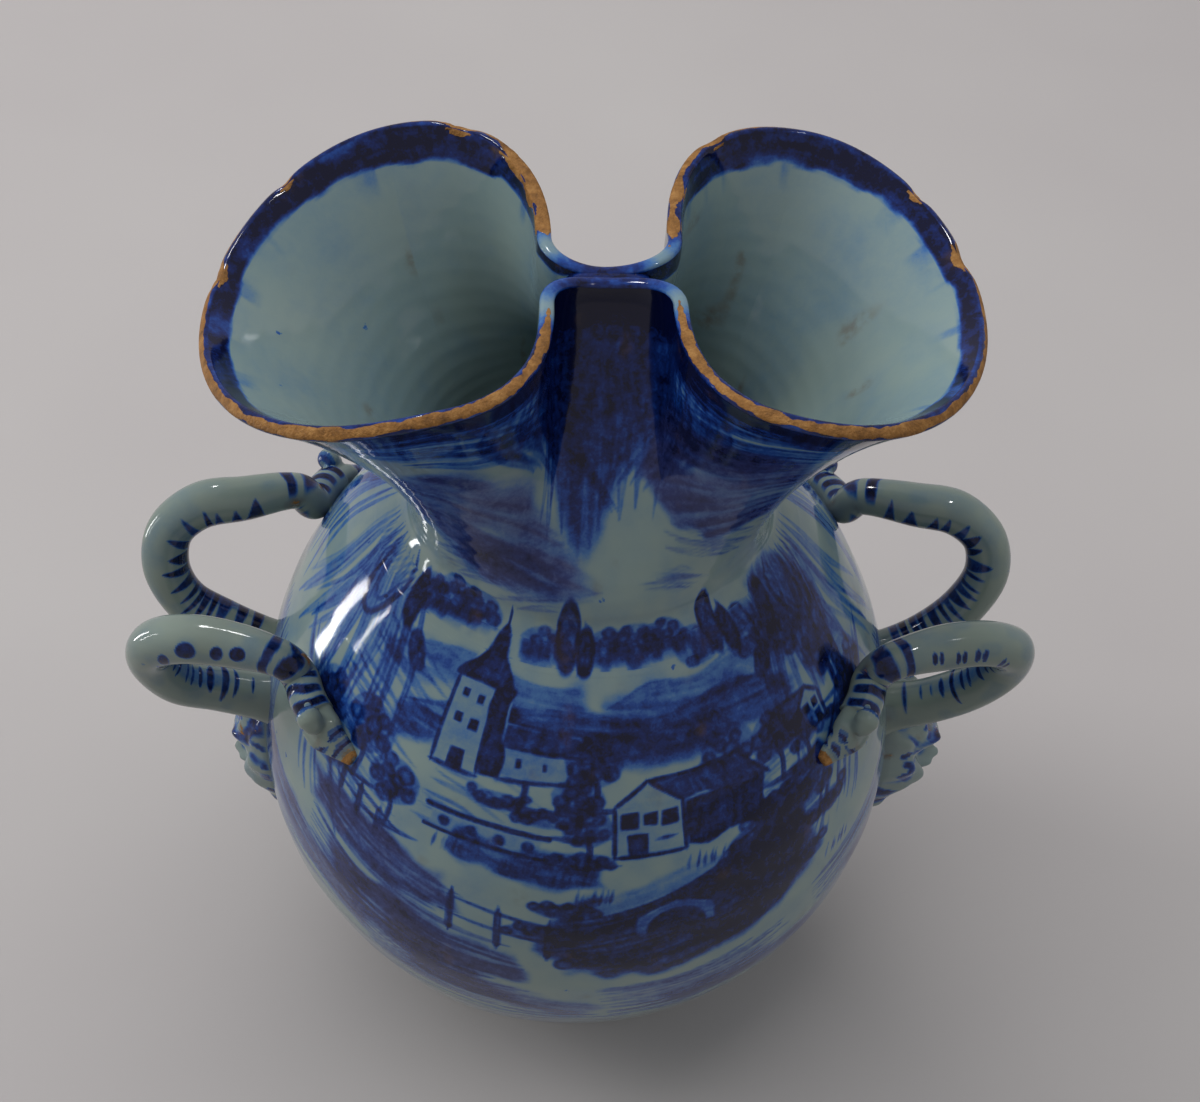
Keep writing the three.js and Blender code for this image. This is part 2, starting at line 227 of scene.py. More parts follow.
def grid_faces(rows, columns, close_rows=False):
    """Quads over a grid whose columns run round and close."""
    spans = rows if close_rows else rows - 1
    i, j = np.meshgrid(np.arange(spans), np.arange(columns), indexing="ij")
    below, above = i * columns, ((i + 1) % rows) * columns
    right = (j + 1) % columns
    return np.stack([below + j, below + right, above + right, above + j], axis=-1).reshape(-1, 4).tolist()


def capped(grid):
    """A grid's quads, and a cap over its first row and its last."""
    rows, count = grid.shape[:2]
    last = (rows - 1) * count
    return grid_faces(rows, count) + [list(range(count))[::-1], list(range(last, last + count))]


def grid_normals(grid):
    """Outward normals of a grid of points whose columns run round anticlockwise and rows run up."""
    ahead = np.roll(grid, -1, 1) - grid
    behind = grid - np.roll(grid, 1, 1)
    far = np.linalg.norm(ahead, axis=-1, keepdims=True)
    near = np.linalg.norm(behind, axis=-1, keepdims=True)
    around = ahead * near / far + behind * far / near
    return unit(np.cross(around, np.gradient(grid, axis=0)))


def carried_frames(line, reference):
    """Two directions square to a line at each point, carried along it without twist."""
    tangent = unit(np.gradient(line, axis=0))
    first = np.zeros_like(line)
    arm = np.array(reference, float)
    for i, ahead in enumerate(tangent):
        arm = arm - ahead * (arm @ ahead)
        arm /= np.linalg.norm(arm)
        first[i] = arm
    return first, np.cross(tangent, first)


def tube_grid(line, radius, reference, around, flatten=1.0):
    """Rings round a line, and the directions of their points from it."""
    first, second = carried_frames(line, reference)
    turn = full_turn(around)[:, None]
    arms = first[:, None] * np.cos(turn) * flatten + second[:, None] * np.sin(turn)
    return line[:, None] + arms * radius[..., None], arms


def full_turn(count):
    return np.linspace(0, 2 * math.pi, count, endpoint=False)


def mirrored(points, faces, side_sign, depth_sign):
    """A mesh drawn for the right side's back, moved to its own side."""
    points = np.asarray(points).reshape(-1, 3) * (side_sign, depth_sign, 1)
    if side_sign * depth_sign < 0:
        faces = [face[::-1] for face in faces]
    return points, faces


def finish_piece(thing, slot, *nodes):
    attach(thing, "root")
    if nodes:
        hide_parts(*nodes)


# The globe's surface
def over_globe(y, z, height):
    """Points over the globe's right side, at a height square to its outside."""
    y, z = np.broadcast_arrays(np.asarray(y, float), np.asarray(z, float))
    tall = np.where(z > 0, GLOBE_RISE, GLOBE_RADIUS)
    girth = GLOBE_RADIUS * np.sqrt(1 - (z / tall) ** 2)
    point = np.stack([np.sqrt(girth ** 2 - y ** 2), y, z], axis=-1)
    normal = point * np.stack([np.ones_like(z), np.ones_like(z), (GLOBE_RADIUS / tall) ** 2], axis=-1)
    return point + unit(normal) * np.asarray(height, float)[..., None]


# The outside is unrolled for the painting: degrees round from the front, and millimetres up the wall
# from the globe's widest ring.
JOINT_RADIUS = COLLAR_RADIUS + 4
JOINT_ANGLE = math.acos(JOINT_RADIUS / GLOBE_RADIUS)


def globe_profile():
    """Radius and height, with the length up the wall, closely spaced from foot to throat."""
    foot, throat = (math.acos(radius / GLOBE_RADIUS) for radius in (FOOT_SEAT_RADIUS, THROAT_RADIUS))
    angle = np.linspace(-foot, throat, 1201)
    tall = np.where(angle > 0, GLOBE_RISE, GLOBE_RADIUS)
    profile = np.stack([GLOBE_RADIUS * np.cos(angle), tall * np.sin(angle)], -1)
    length = length_along(profile)
    length = length - np.interp(0, angle, length)
    return profile, length, float(np.interp(JOINT_ANGLE, angle, length))


PROFILE, PROFILE_S, JOINT_S = globe_profile()
JOINT_Z = GLOBE_RISE * math.sin(JOINT_ANGLE)
FILLET_LENGTH = math.hypot(JOINT_RADIUS - NECK_RADIUS, NECK_Z - JOINT_Z) * 1.05
NECK_S = JOINT_S + FILLET_LENGTH
NECK_LENGTH = 88.0

# Columns are closer together where the painting is seen best.
FRONT_STEP = 0.3
BACK_STEP = 0.6
FRONT_HALF = 126.0
COLUMNS = np.concatenate([np.arange(-FRONT_HALF, FRONT_HALF, FRONT_STEP),
                          np.arange(FRONT_HALF, 360 - FRONT_HALF, BACK_STEP)])


def turned(radius, height):
    """Rings about the axis, with a point to each column."""
    angle = np.radians(COLUMNS - 90)
    rings = radius * np.cos(angle), radius * np.sin(angle), height + 0 * angle
    return np.stack(np.broadcast_arrays(*rings), -1)


# Painting
class Canvas:
    """Layers of pigment on the unrolled outside. Motifs are drawn in millimetres round a place on it."""

    step_u = 0.25
    step_s = 0.4
    low_s = -100.0
    high_s = 205.0

    def __init__(self):
        self.us = np.arange(-180, 180, self.step_u)
        self.ss = np.arange(self.low_s, self.high_s, self.step_s)
        self.cobalt = np.zeros((len(self.ss), len(self.us)), np.float32)
        self.violet = np.zeros_like(self.cobalt)
        self.stain = np.zeros_like(self.cobalt)

    @staticmethod
    def radius_at(s):
        return float(np.interp(s, PROFILE_S, PROFILE[:, 0])) if s < JOINT_S else NECK_RADIUS + 4

    def patch(self, place, low, high):
        """The part of the canvas between two corners in millimetres round a place."""
        u0, s0 = place
        per_mm = 180 / math.pi / self.radius_at(s0)
        first = int(math.floor((u0 + low[0] * per_mm + 180) / self.step_u))
        last = int(math.ceil((u0 + high[0] * per_mm + 180) / self.step_u))
        columns = np.arange(first, min(last, first + len(self.us) - 1) + 1)
        row_a = max(0, int((s0 + low[1] - self.low_s) / self.step_s))
        row_b = min(len(self.ss) - 1, int(math.ceil((s0 + high[1] - self.low_s) / self.step_s)))
        rows = np.arange(row_a, row_b + 1)
        x = (columns * self.step_u - 180 - u0) / per_mm
        y = self.ss[rows] - s0
        return np.ix_(rows, columns % len(self.us)), *np.meshgrid(x, y)

    def lay(self, where, mask, load, violet=0.0):
        """Adds a coat: a second coat darkens the first, and never past the full pigment."""
        coat = np.clip(mask * load, 0, 0.97)
        self.cobalt[where] = 1 - (1 - self.cobalt[where]) * (1 - coat)
        if violet:
            self.violet[where] = np.maximum(self.violet[where], mask * violet)

    def ring(self, s, width, load, seed):
        """A line all the way round."""
        height = np.broadcast_to(self.ss[:, None] - s, self.cobalt.shape)
        around = lattice_noise(self.us / 9 + 20, 3.0, seed, wrap=40)[None]
        grain = lattice_noise(height / 0.6 + 50, self.us[None] / 12 + 15, seed + 1)
        mask = smoothstep(width / 2 * (0.8 + 0.4 * around) - np.abs(height + around - 0.5), 0, 0.7)
        self.lay(np.s_[:], mask * (0.6 + 0.6 * grain), load)

    def brush(self, place, path, width, load, taper=(0.35, 0.35), streak=0.35, violet=0.0, seed=0):
        """One brush stroke through the path's points, which thins over its first and last parts."""
        spacing = 0.9
        line = smooth_line(path, spacing)
        pad = width / 2 + 1.5
        where, x, y = self.patch(place, line.min(0) - pad, line.max(0) + pad)
        if x.size == 0:
            return
        near = ((x[..., None] - line[:, 0]) ** 2 + (y[..., None] - line[:, 1]) ** 2).argmin(-1)
        tangent = unit(np.gradient(line, axis=0))[near]
        dx, dy = x - line[near, 0], y - line[near, 1]
        ahead = dx * tangent[..., 0] + dy * tangent[..., 1]
        aside = dy * tangent[..., 0] - dx * tangent[..., 1]
        distance = np.hypot(aside, np.maximum(np.abs(ahead) - 0.7 * spacing, 0))
        along = np.clip((near + ahead / spacing) / max(1, len(line) - 1), 0, 1)
        swell = np.ones_like(along)
        for share, part in ((along, taper[0]), (1 - along, taper[1])):
            if part:
                swell = np.minimum(swell, (share / part + 0.05) ** 0.6)
        half = width / 2 * swell
        mask = smoothstep(half + 0.35 - distance, 0, 0.7)
        grain = lattice_noise(aside / 0.6 + 50, along * len(line) / 14 + 7, seed + 11)
        pool = 0.25 * bell(half - distance, 0.3, 0.6)
        self.lay(where, mask * np.clip(1 - streak + 2 * streak * (grain - 0.5) + pool, 0, 2), load, violet)

    def wash(self, place, outline, load, streak=0.4, angle=0.0, violet=0.0, soft=1.2, edge=0.15, seed=0):
        """A filled outline with streaks that run at an angle."""
        corners = np.array(outline, float)
        where, x, y = self.patch(place, corners.min(0) - 4, corners.max(0) + 4)
        wobble = 2.2 * (lattice_noise(x / 7 + 30, y / 7 + 30, seed + 5) - 0.5) * min(2.0, soft)
        depth = outline_depth(corners, x, y) + wobble
        turn = math.radians(angle)
        across = -x * math.sin(turn) + y * math.cos(turn)
        down = x * math.cos(turn) + y * math.sin(turn)
        grain = lattice_noise(across / 1.1 + 90, down / 22 + 40, seed + 3)
        clouds = lattice_noise(x / 9 + 60, y / 9 + 20, seed + 8)
        mask = smoothstep(depth, -soft / 2, soft / 2)
        tone = 1 - streak + streak * (1.3 * grain + 0.8 * clouds) + edge * bell(depth, 0.6, 1.0)
        self.lay(where, mask * tone, load, violet)

    def reserve(self, place, outline, keep=0.1, soft=0.8):
        """Takes pigment out of an outline, where the white glaze is left bare."""
        corners = np.array(outline, float)
        where, x, y = self.patch(place, corners.min(0) - 2, corners.max(0) + 2)
        mask = smoothstep(outline_depth(corners, x, y), -soft / 2, soft / 2)
        self.cobalt[where] *= (1 - (1 - keep) * mask).astype(np.float32)

    def dab(self, place, middle, radii, load, turn=0.0, ring=0.0, seed=0):
        """An oval touch of the brush, with an outline if ring is given."""
        reach = max(radii) + 2
        centre = np.array(middle, float)
        where, x, y = self.patch(place, centre - reach, centre + reach)
        x, y = x - centre[0], y - centre[1]
        a, b = math.cos(turn), math.sin(turn)
        p, q = (x * a + y * b) / radii[0], (y * a - x * b) / radii[1]
        wave = 0.12 * (lattice_noise(np.arctan2(q, p) * 2 + 20, 3.0, seed + 2) - 0.5)
        depth = (1 + wave - np.hypot(p, q)) * min(radii)
        grain = lattice_noise(x / 1.3 + 70, y / 2.2 + 10, seed + 4)
        tone = 0.7 + 0.5 * grain + ring * bell(depth, 0.7, 0.7)
        self.lay(where, smoothstep(depth, -0.4, 0.5) * tone, load)

    def sample(self, u, s):
        """The painting's layers at degrees round from the front and millimetres up the wall."""
        column = ((u + 180) % 360) / self.step_u
        row = np.clip((s - self.low_s) / self.step_s, 0, len(self.ss) - 1.001)
        c0, r0 = np.floor(column).astype(int), np.floor(row).astype(int)
        fc, fr = column - c0, row - r0
        left, right = c0 % len(self.us), (c0 + 1) % len(self.us)
        found = {}
        for name in ("cobalt", "violet", "stain"):
            layer = getattr(self, name)
            low = layer[r0, left] * (1 - fc) + layer[r0, right] * fc
            high = layer[r0 + 1, left] * (1 - fc) + layer[r0 + 1, right] * fc
            found[name] = low * (1 - fr) + high * fr
        return found


def outline_depth(corners, x, y):
    """Distance inside a closed outline, negative outside it."""
    inside = np.zeros(x.shape, bool)
    nearest = np.full(x.shape, 1e9)
    for a, b in zip(corners, np.roll(corners, -1, 0)):
        crosses = (a[1] > y) != (b[1] > y)
        rise = b[1] - a[1] if b[1] != a[1] else 1e-9
        inside ^= crosses & (x < (b[0] - a[0]) * (y - a[1]) / rise + a[0])
        d = b - a
        t = np.clip(((x - a[0]) * d[0] + (y - a[1]) * d[1]) / max(d @ d, 1e-9), 0, 1)
        nearest = np.minimum(nearest, np.hypot(x - a[0] - t * d[0], y - a[1] - t * d[1]))
    return np.where(inside, nearest, -nearest)


# Motifs
def scaled(across, up, points):
    return [(across * x, up * y) for x, y in points]


def round_tree(canvas, place, size, seed, load=0.6, trunk=True):
    """A tree whose leaves are a cluster of ringed touches over a pale wash."""
    rng = np.random.default_rng(seed)
    if trunk:
        stem, ground = [(0, -1.1), (0.1, -0.5), (0, 0)], [(-0.9, -1.08), (0, -1.12), (1, -1.06)]
        canvas.brush(place, scaled(size, size, stem), 1.7, 0.8, (0, 0.3), seed=seed)
        canvas.brush(place, scaled(size, size, ground), 1.8, 0.6, seed=seed + 1)
    canvas.dab(place, (0, 0.32 * size), (0.84 * size, 0.7 * size), 0.34 * load, seed=seed + 2)
    for i in range(8):
        turn = i * 2.4 + rng.uniform(-0.3, 0.3)
        reach = size * 0.66 * math.sqrt((i + 0.2) / 7.2)
        middle = (1.1 * reach * math.cos(turn), 0.34 * size + 0.85 * reach * math.sin(turn))
        radius = size * rng.uniform(0.21, 0.3)
        canvas.dab(place, middle, (radius, radius * 0.92), 0.42 * load, ring=0.8, seed=seed + i)
    for i in range(5):
        turn = rng.uniform(-2.4, 0.2)
        reach = size * rng.uniform(0.25, 0.6)
        middle = (reach * math.cos(turn), 0.3 * size + 0.8 * reach * math.sin(turn))
        canvas.dab(place, middle, (0.17 * size, 0.12 * size), 0.5 * load, seed=seed + 20 + i)


def bush(canvas, place, size, seed, load=0.75):
    rng = np.random.default_rng(seed)
    canvas.dab(place, (0, 0.1 * size), (1.1 * size, 0.34 * size), 0.36 * load, seed=seed)
    for i in range(7):
        middle = ((i - 3) * 0.34 * size + rng.uniform(-0.8, 0.8), rng.uniform(-0.05, 0.38) * size)
        radius = size * rng.uniform(0.2, 0.3)
        canvas.dab(place, middle, (radius, radius * 0.85), 0.42 * load, ring=0.8, seed=seed + i)
    for i in range(3):
        middle = (rng.uniform(-0.8, 0.9) * size, rng.uniform(-0.15, 0.1) * size)
        canvas.dab(place, middle, (0.24 * size, 0.12 * size), 0.45 * load, seed=seed + 10 + i)


def cypress(canvas, place, height, seed, width):
    canvas.dab(place, (0, height / 2), (width / 2, height / 2), 0.55, ring=0.8, seed=seed)
    for i in range(6):
        y = height * (0.08 + 0.14 * i)
        side = width * (0.3 if i % 2 else -0.3)
        frond = [(side, y), (0.2 * side, y + 2.6), (-0.2 * side, y + 4.6)]
        canvas.brush(place, frond, 1.5, 0.5, seed=seed + i)


def opening(canvas, place, x, y, half_width, half_height, load, seed):
    """A dark window or door."""
    corners = [(x + half_width * a, y + half_height * b) for a, b in ((-1, -1), (1, -1), (1, 1), (-1, 1))]
    canvas.wash(place, corners, load, soft=0.6, seed=seed)


def walls(canvas, place, painted, lines, width, load, seed, line_seed):
    """Outlines cleared of paint and washed with their load, angle and edge, and lines drawn on them."""
    for outline, *_ in painted:
        canvas.reserve(place, outline)
    for i, (outline, wash_load, angle, edge) in enumerate(painted):
        canvas.wash(place, outline, wash_load, angle=angle, edge=edge, seed=seed + i)
    for a, b in lines:
        canvas.brush(place, [a, b], width, load, (0.1, 0.1), 0.2, seed=line_seed)


def gable_house(canvas, place, width, height, seed, flip=1, windows=3):
    """A cottage seen at its corner: a lit gable wall, and a long shaded side under its roof."""
    w, h = flip * width, height
    gable = scaled(w, h, [(0, 0), (1, 0), (1, 1), (0.5, 1.45), (0, 1)])
    side = scaled(w, h, [(1, 0), (2.3, 0.12), (2.3, 0.85), (1, 1)])
    roof = scaled(w, h, [(0.5, 1.45), (1.95, 1.5), (2.45, 0.85), (1, 1)])
    lines = (gable[0], gable[4]), (gable[4], gable[3]), (gable[3], gable[2]), (gable[1], gable[2])
    lines += (gable[3], roof[1]), (roof[1], roof[2]), (gable[0], gable[1])
    walls(canvas, place, ((gable, 0.07, 0, 0), (side, 0.85, 80, 0.15), (roof, 0.62, -65 * flip, 0.15)),
          lines, 1.3, 0.8, seed, seed + 3)
    for i in range(windows):
        x = w * (i + 0.7) / (windows + 0.4)
        opening(canvas, place, x, 0.72 * h, 0.11 * width, 0.13 * h, 0.95, seed + i)
    opening(canvas, place, 0.32 * w, 0.2 * h, 0.13 * width, 0.22 * h, 0.8, seed)
    canvas.brush(place, [(0.6 * w, 0.3 * h), (0.85 * w, 0.32 * h)], 1.1, 0.6, seed=seed)


def chapel(canvas, place, w, h, seed):
    """A tall lit tower with a shaded side, a pointed roof and a low nave behind it."""
    tower = scaled(w, h, [(0, 0), (1, 0), (1, 1), (0, 1)])
    shade = scaled(w, h, [(1, 0), (1.45, 0.05), (1.45, 0.97), (1, 1)])
    spire = scaled(w, h, [(-0.08, 1), (1.5, 0.97), (0.75, 1.62)])
    nave = scaled(w, h, [(1.45, 0.05), (3.4, 0.12), (3.4, 0.4), (1.45, 0.42)])
    nave_roof = scaled(w, h, [(1.45, 0.42), (3.5, 0.4), (3.1, 0.62), (1.45, 0.66)])
    lines = [pair for outline in (tower, nave) for pair in zip(outline, outline[1:] + outline[:1])]
    walls(canvas, place, ((tower, 0.06, 0, 0), (shade, 0.9, 85, 0.15), (spire, 0.75, 70, 0.15),
                          (nave, 0.1, 0, 0), (nave_roof, 0.65, 75, 0.15)), lines, 1.2, 0.75, seed, seed + 5)
    canvas.brush(place, scaled(w, h, [(0.75, 1.6), (0.75, 1.85)]), 1.0, 0.8, seed=seed)
    for x, y in ((0.3, 0.82), (0.7, 0.8), (0.3, 0.55), (0.7, 0.53)):
        opening(canvas, place, x * w, y * h, 0.1 * w, 0.055 * h, 0.9, seed)
    opening(canvas, place, 0.5 * w, 0.11 * h, 0.15 * w, 0.11 * h, 0.85, seed)
    for i in range(3):
        opening(canvas, place, (1.85 + 0.55 * i) * w, 0.26 * h, 0.08 * w, 0.06 * h, 0.8, seed + i)


def arched_bridge(canvas, place, span, height, seed):
    arch = [(span * 0.36 * math.cos(a), height * 0.75 * math.sin(a)) for a in np.linspace(0, math.pi, 12)]
    body = scaled(span, height, [(-0.5, 0), (-0.5, 0.7), (0, 1.15), (0.5, 0.7), (0.5, 0)])
    canvas.reserve(place, body)
    canvas.wash(place, body, 0.3, seed=seed)
    canvas.wash(place, arch, 0.8, seed=seed + 1)
    canvas.brush(place, scaled(span, height, [(-0.6, 0.55), (0, 1.2), (0.6, 0.6)]), 1.6, 0.8, seed=seed)
    canvas.brush(place, arch, 1.3, 0.8, (0.05, 0.05), seed=seed)


def fence(canvas, place, posts, pitch, height, slope, seed):
    rng = np.random.default_rng(seed)
    for i in range(posts):
        x, y = i * pitch, slope * i * pitch
        post = [(x, y), (x + rng.uniform(-0.6, 0.6), y + height)]
        canvas.brush(place, post, 2.2, 0.75, (0.1, 0.2), seed=seed + i)
    long = posts * pitch
    for level in (0.45 * height, 0.85 * height):
        rail = [(-3, level), (long / 2, slope * long / 2 + level), (long, slope * long + level)]
        canvas.brush(place, rail, 1.4, 0.55, seed=seed + 9)


def garden_wall(canvas, place, length, height, slope, seed):
    """A low white wall with small dark openings and a coping."""
    def along(*points):
        return [(x, y + slope * x) for x, y in points]

    face = along((0, 0), (length, 0), (length, height), (0, height))
    canvas.reserve(place, face)
    canvas.wash(place, face, 0.1, seed=seed, edge=0)
    for y, width in ((height, 1.6), (0, 1.2)):
        line = along((-1, y), (length / 2, y + 0.5), (length + 1, y))
        canvas.brush(place, line, width, 0.85, (0, 0), 0.3, seed=seed + 1)
    for i in range(4):
        middle, = along((length * (i + 0.5) / 4, 0.5 * height))
        canvas.dab(place, middle, (1.9, 1.7), 0.7, seed=seed + i)


def hatching(canvas, place, start, end, length, count, width, load, seed, bend, violet=0.0):
    """Many long strokes side by side, such as windblown grass."""
    rng = np.random.default_rng(seed)
    for i in range(count):
        share = (i + rng.uniform(-0.35, 0.35)) / max(1, count - 1)
        a = np.array(start) * (1 - share) + np.array(end) * share
        run = np.array(length) * rng.uniform(0.75, 1.15)
        side = np.array([-run[1], run[0]]) / max(1e-6, np.hypot(*run))
        middle = a + run * 0.5 + side * (bend + rng.uniform(-1, 1) * min(1.2, 0.04 * np.hypot(*run)))
        thick = width * rng.uniform(0.6, 1.3)
        dark = load * rng.uniform(0.6, 1.25)
        canvas.brush(place, [a, middle, a + run], thick, dark, (0.25, 0.5), 0.4, violet, seed=seed + i)


def cloud(canvas, place, width, height, load, turn, seed):
    """A soft cloud, laid with wide strokes."""
    rng = np.random.default_rng(seed)
    for i in range(7):
        y = height * (i / 6 - 0.5)
        x = rng.uniform(-0.12, 0.12) * width
        half = width * 0.5 * math.sqrt(max(0.15, 1 - (2 * i / 6 - 1) ** 2)) * rng.uniform(0.8, 1.1)
        lift = half * math.tan(turn)
        path = [(x - half, y - lift), (x, y + height * 0.1), (x + half, y + lift)]
        dark = load * rng.uniform(0.55, 1.1)
        canvas.brush(place, path, height * 0.34, dark, (0.5, 0.5), 0.75, 0.6, seed=seed + i)


def hill(canvas, place, crest, depth, load, seed):
    outline = crest + [(x, y - depth) for x, y in reversed(crest)]
    canvas.wash(place, outline, load, streak=0.85, angle=-4, soft=6, edge=0, seed=seed)
    canvas.brush(place, crest, 2.2, load * 0.8, (0.2, 0.2), 0.5, seed=seed)


def leaf(canvas, place, length, width, turn, load, seed):
    a, b = math.cos(turn), math.sin(turn)
    canvas.dab(place, (0, 0), (length / 2, width / 2), load, turn=turn, ring=0.5, seed=seed)
    for i in range(4):
        x = length * (0.22 * i - 0.33)
        vein = [(x * a, x * b), ((x + 3) * a - width * 0.35 * b, (x + 3) * b + width * 0.35 * a)]
        canvas.brush(place, vein, 1.0, 0.5, seed=seed + i)


def scatter(motif, canvas, rows, **settings):
    """Draws a tree or a bush at each row's degrees and height, with its size and seed."""
    for u, s, size, seed in rows:
        motif(canvas, (u, s), size, seed, **settings)


# The landscape. Washes take place, outline, load, streak, angle, violet, softness, edge and seed.
def paint_sky(canvas):
    """The neck: deep blue under the bridge and the lips, with clouds on both sides of a pale gap."""
    deep = [(-30, 62), (-26, 34), (-17, 16), (-11, -4), (-5, -12), (2, 4), (8, 16), (20, 26), (27, 40),
            (30, 62)]
    deeper = [(-24, 44), (-18, 2), (-4, -8), (8, -2), (20, 6), (24, 44)]
    left_cloud = [(-34, 18), (-8, 24), (10, 10), (24, -10), (20, -20), (2, -22), (-14, -16), (-36, -4)]
    low_cloud = [(-22, 8), (8, 8), (22, -6), (0, -12), (-20, -4)]
    right_cloud = [(-20, 2), (-10, 22), (14, 28), (34, 18), (28, -2), (4, -12)]
    for front, seed in ((0, 100), (180, 140)):
        canvas.wash((front, 150), deep, 0.5, 0.75, 86, 0, 8, 0, seed)
        canvas.wash((front, 172), deeper, 0.4, 0.9, 80, 0, 8, 0, seed + 1)
        hatching(canvas, (front, 152), (-20, 26), (12, 30), (2, -32), 16, 3.2, 0.3, seed + 2, 2)
        hatching(canvas, (front, 168), (-14, 26), (16, 26), (-6, -26), 10, 2.6, 0.35, seed + 20, -4)
        for flip in (-1, 1):
            step = seed + 20 * flip
            hatching(canvas, (front + flip * 24, 176), (flip * 14, 18), (-flip * 16, 6), (-flip * 12, -32),
                     15, 3.0, 0.34, step + 40, flip * 5)
            hatching(canvas, (front + flip * 46, 188), (flip * 20, 8), (flip * 4, -12), (-flip * 44, -14),
                     13, 2.6, 0.36, step + 44, -flip * 4)
        canvas.wash((front - 34, 146), left_cloud, 0.36, 0.85, -24, 0.7, 9, 0.05, seed + 60)
        canvas.wash((front - 24, 134), low_cloud, 0.3, 0.9, -20, 0.7, 8, 0, seed + 61)
        canvas.wash((front + 30, 154), right_cloud, 0.42, 0.8, 18, 0.7, 5, 0.1, seed + 62)
        for u, s, width, height, load, turn in ((-38, 130, 44, 16, 0.22, 0.3), (-16, 122, 30, 9, 0.2, 0.25),
                                                (36, 140, 34, 12, 0.22, -0.25), (24, 128, 20, 7, 0.24, -0.2),
                                                (58, 150, 30, 16, 0.2, -0.3), (-60, 150, 30, 16, 0.2, 0.3)):
            cloud(canvas, (front + u, s), width, height, load, turn, seed + s + 60 + u)


def paint_under_lip(canvas):
    """Streaks that run round just under the lip."""
    rng = np.random.default_rng(180)
    for i in range(300):
        u, drop = rng.uniform(-180, 180), 22 * rng.random() ** 1.8
        length, tilt = rng.uniform(8, 26), rng.uniform(-0.2, 0.2) * drop
        canvas.brush((u, NECK_S + NECK_LENGTH - drop), [(-length, -tilt), (0, 0.4), (length, tilt)],
                     rng.uniform(1.2, 3.4), rng.uniform(0.12, 0.42), (0.4, 0.4), 0.7, seed=i)


def paint_far_hills(canvas):
    """Hills behind the village, with trees on them."""
    hill(canvas, (-22, 97), [(-36, -9), (-24, -2), (-10, 1), (8, -2), (20, -1)], 9, 0.3, 200)
    hill(canvas, (22, 94), [(-22, -3), (-10, 2), (4, 1), (20, 4), (34, 0)], 10, 0.32, 210)
    hill(canvas, (2, 87), [(-56, -9), (-36, -2), (-10, 2), (14, -1), (38, 3), (56, -4)], 11, 0.55, 215)
    fields = [(-26, 3), (0, 5), (26, 6), (34, 0), (6, -5), (-22, -4)]
    canvas.wash((10, 78), fields, 0.3, 0.95, 6, 0, 5, 0.15, 217)
    scatter(round_tree, canvas, (
        (-52, 104, 8, 231), (-44, 107, 10, 232), (-36, 108, 9, 233), (4, 105, 8, 234), (12, 105, 9, 235),
        (20, 106, 8, 236), (44, 97, 11, 237), (54, 90, 11, 238), (-15, 104, 8, 239), (28, 101, 8, 245),
    ), load=0.75, trunk=False)
    for u, s, height, seed, width in ((-8, 100, 24, 240, 7), (-3, 99, 15, 241, 6), (34, 98, 22, 242, 7),
                                      (39, 97, 14, 243, 6)):
        cypress(canvas, (u, s), height, seed, width)


def paint_village(canvas):
    """A chapel and cottages under trees, behind a garden wall."""
    hatching(canvas, (-48, 80), (-12, 16), (-22, -30), (34, -11), 16, 1.7, 0.33, 244, 1.5)
    hatching(canvas, (-24, 64), (-8, 8), (-14, -16), (28, -8), 9, 1.5, 0.27, 246, 1.5)
    hatching(canvas, (26, 60), (-10, 10), (-6, -8), (34, 5), 9, 1.6, 0.3, 247, -1.5)
    scatter(round_tree, canvas, ((-14, 72, 11, 247), (-20, 80, 9, 248)), load=0.85)
    chapel(canvas, (-33, 66), 14, 27, 250)
    scatter(round_tree, canvas, ((0, 72, 10, 278), (28, 68, 11, 279)), load=0.85)
    gable_house(canvas, (4, 46), 21, 16, 260)
    gable_house(canvas, (54, 62), 10, 9, 266, flip=-1, windows=2)
    scatter(round_tree, canvas, ((-48, 60, 12, 271), (-39, 50, 11, 272), (-3, 62, 9, 273), (-1, 53, 9, 277),
                                 (39, 66, 10, 274), (46, 62, 9, 275)), load=0.85)
    scatter(bush, canvas, ((-18, 60, 8, 281), (-9, 57, 8, 282), (-2, 44, 9, 283), (36, 47, 11, 284),
                           (42, 42, 12, 285)), load=0.9)
    garden_wall(canvas, (-30, 46), 34, 7, -0.04, 288)


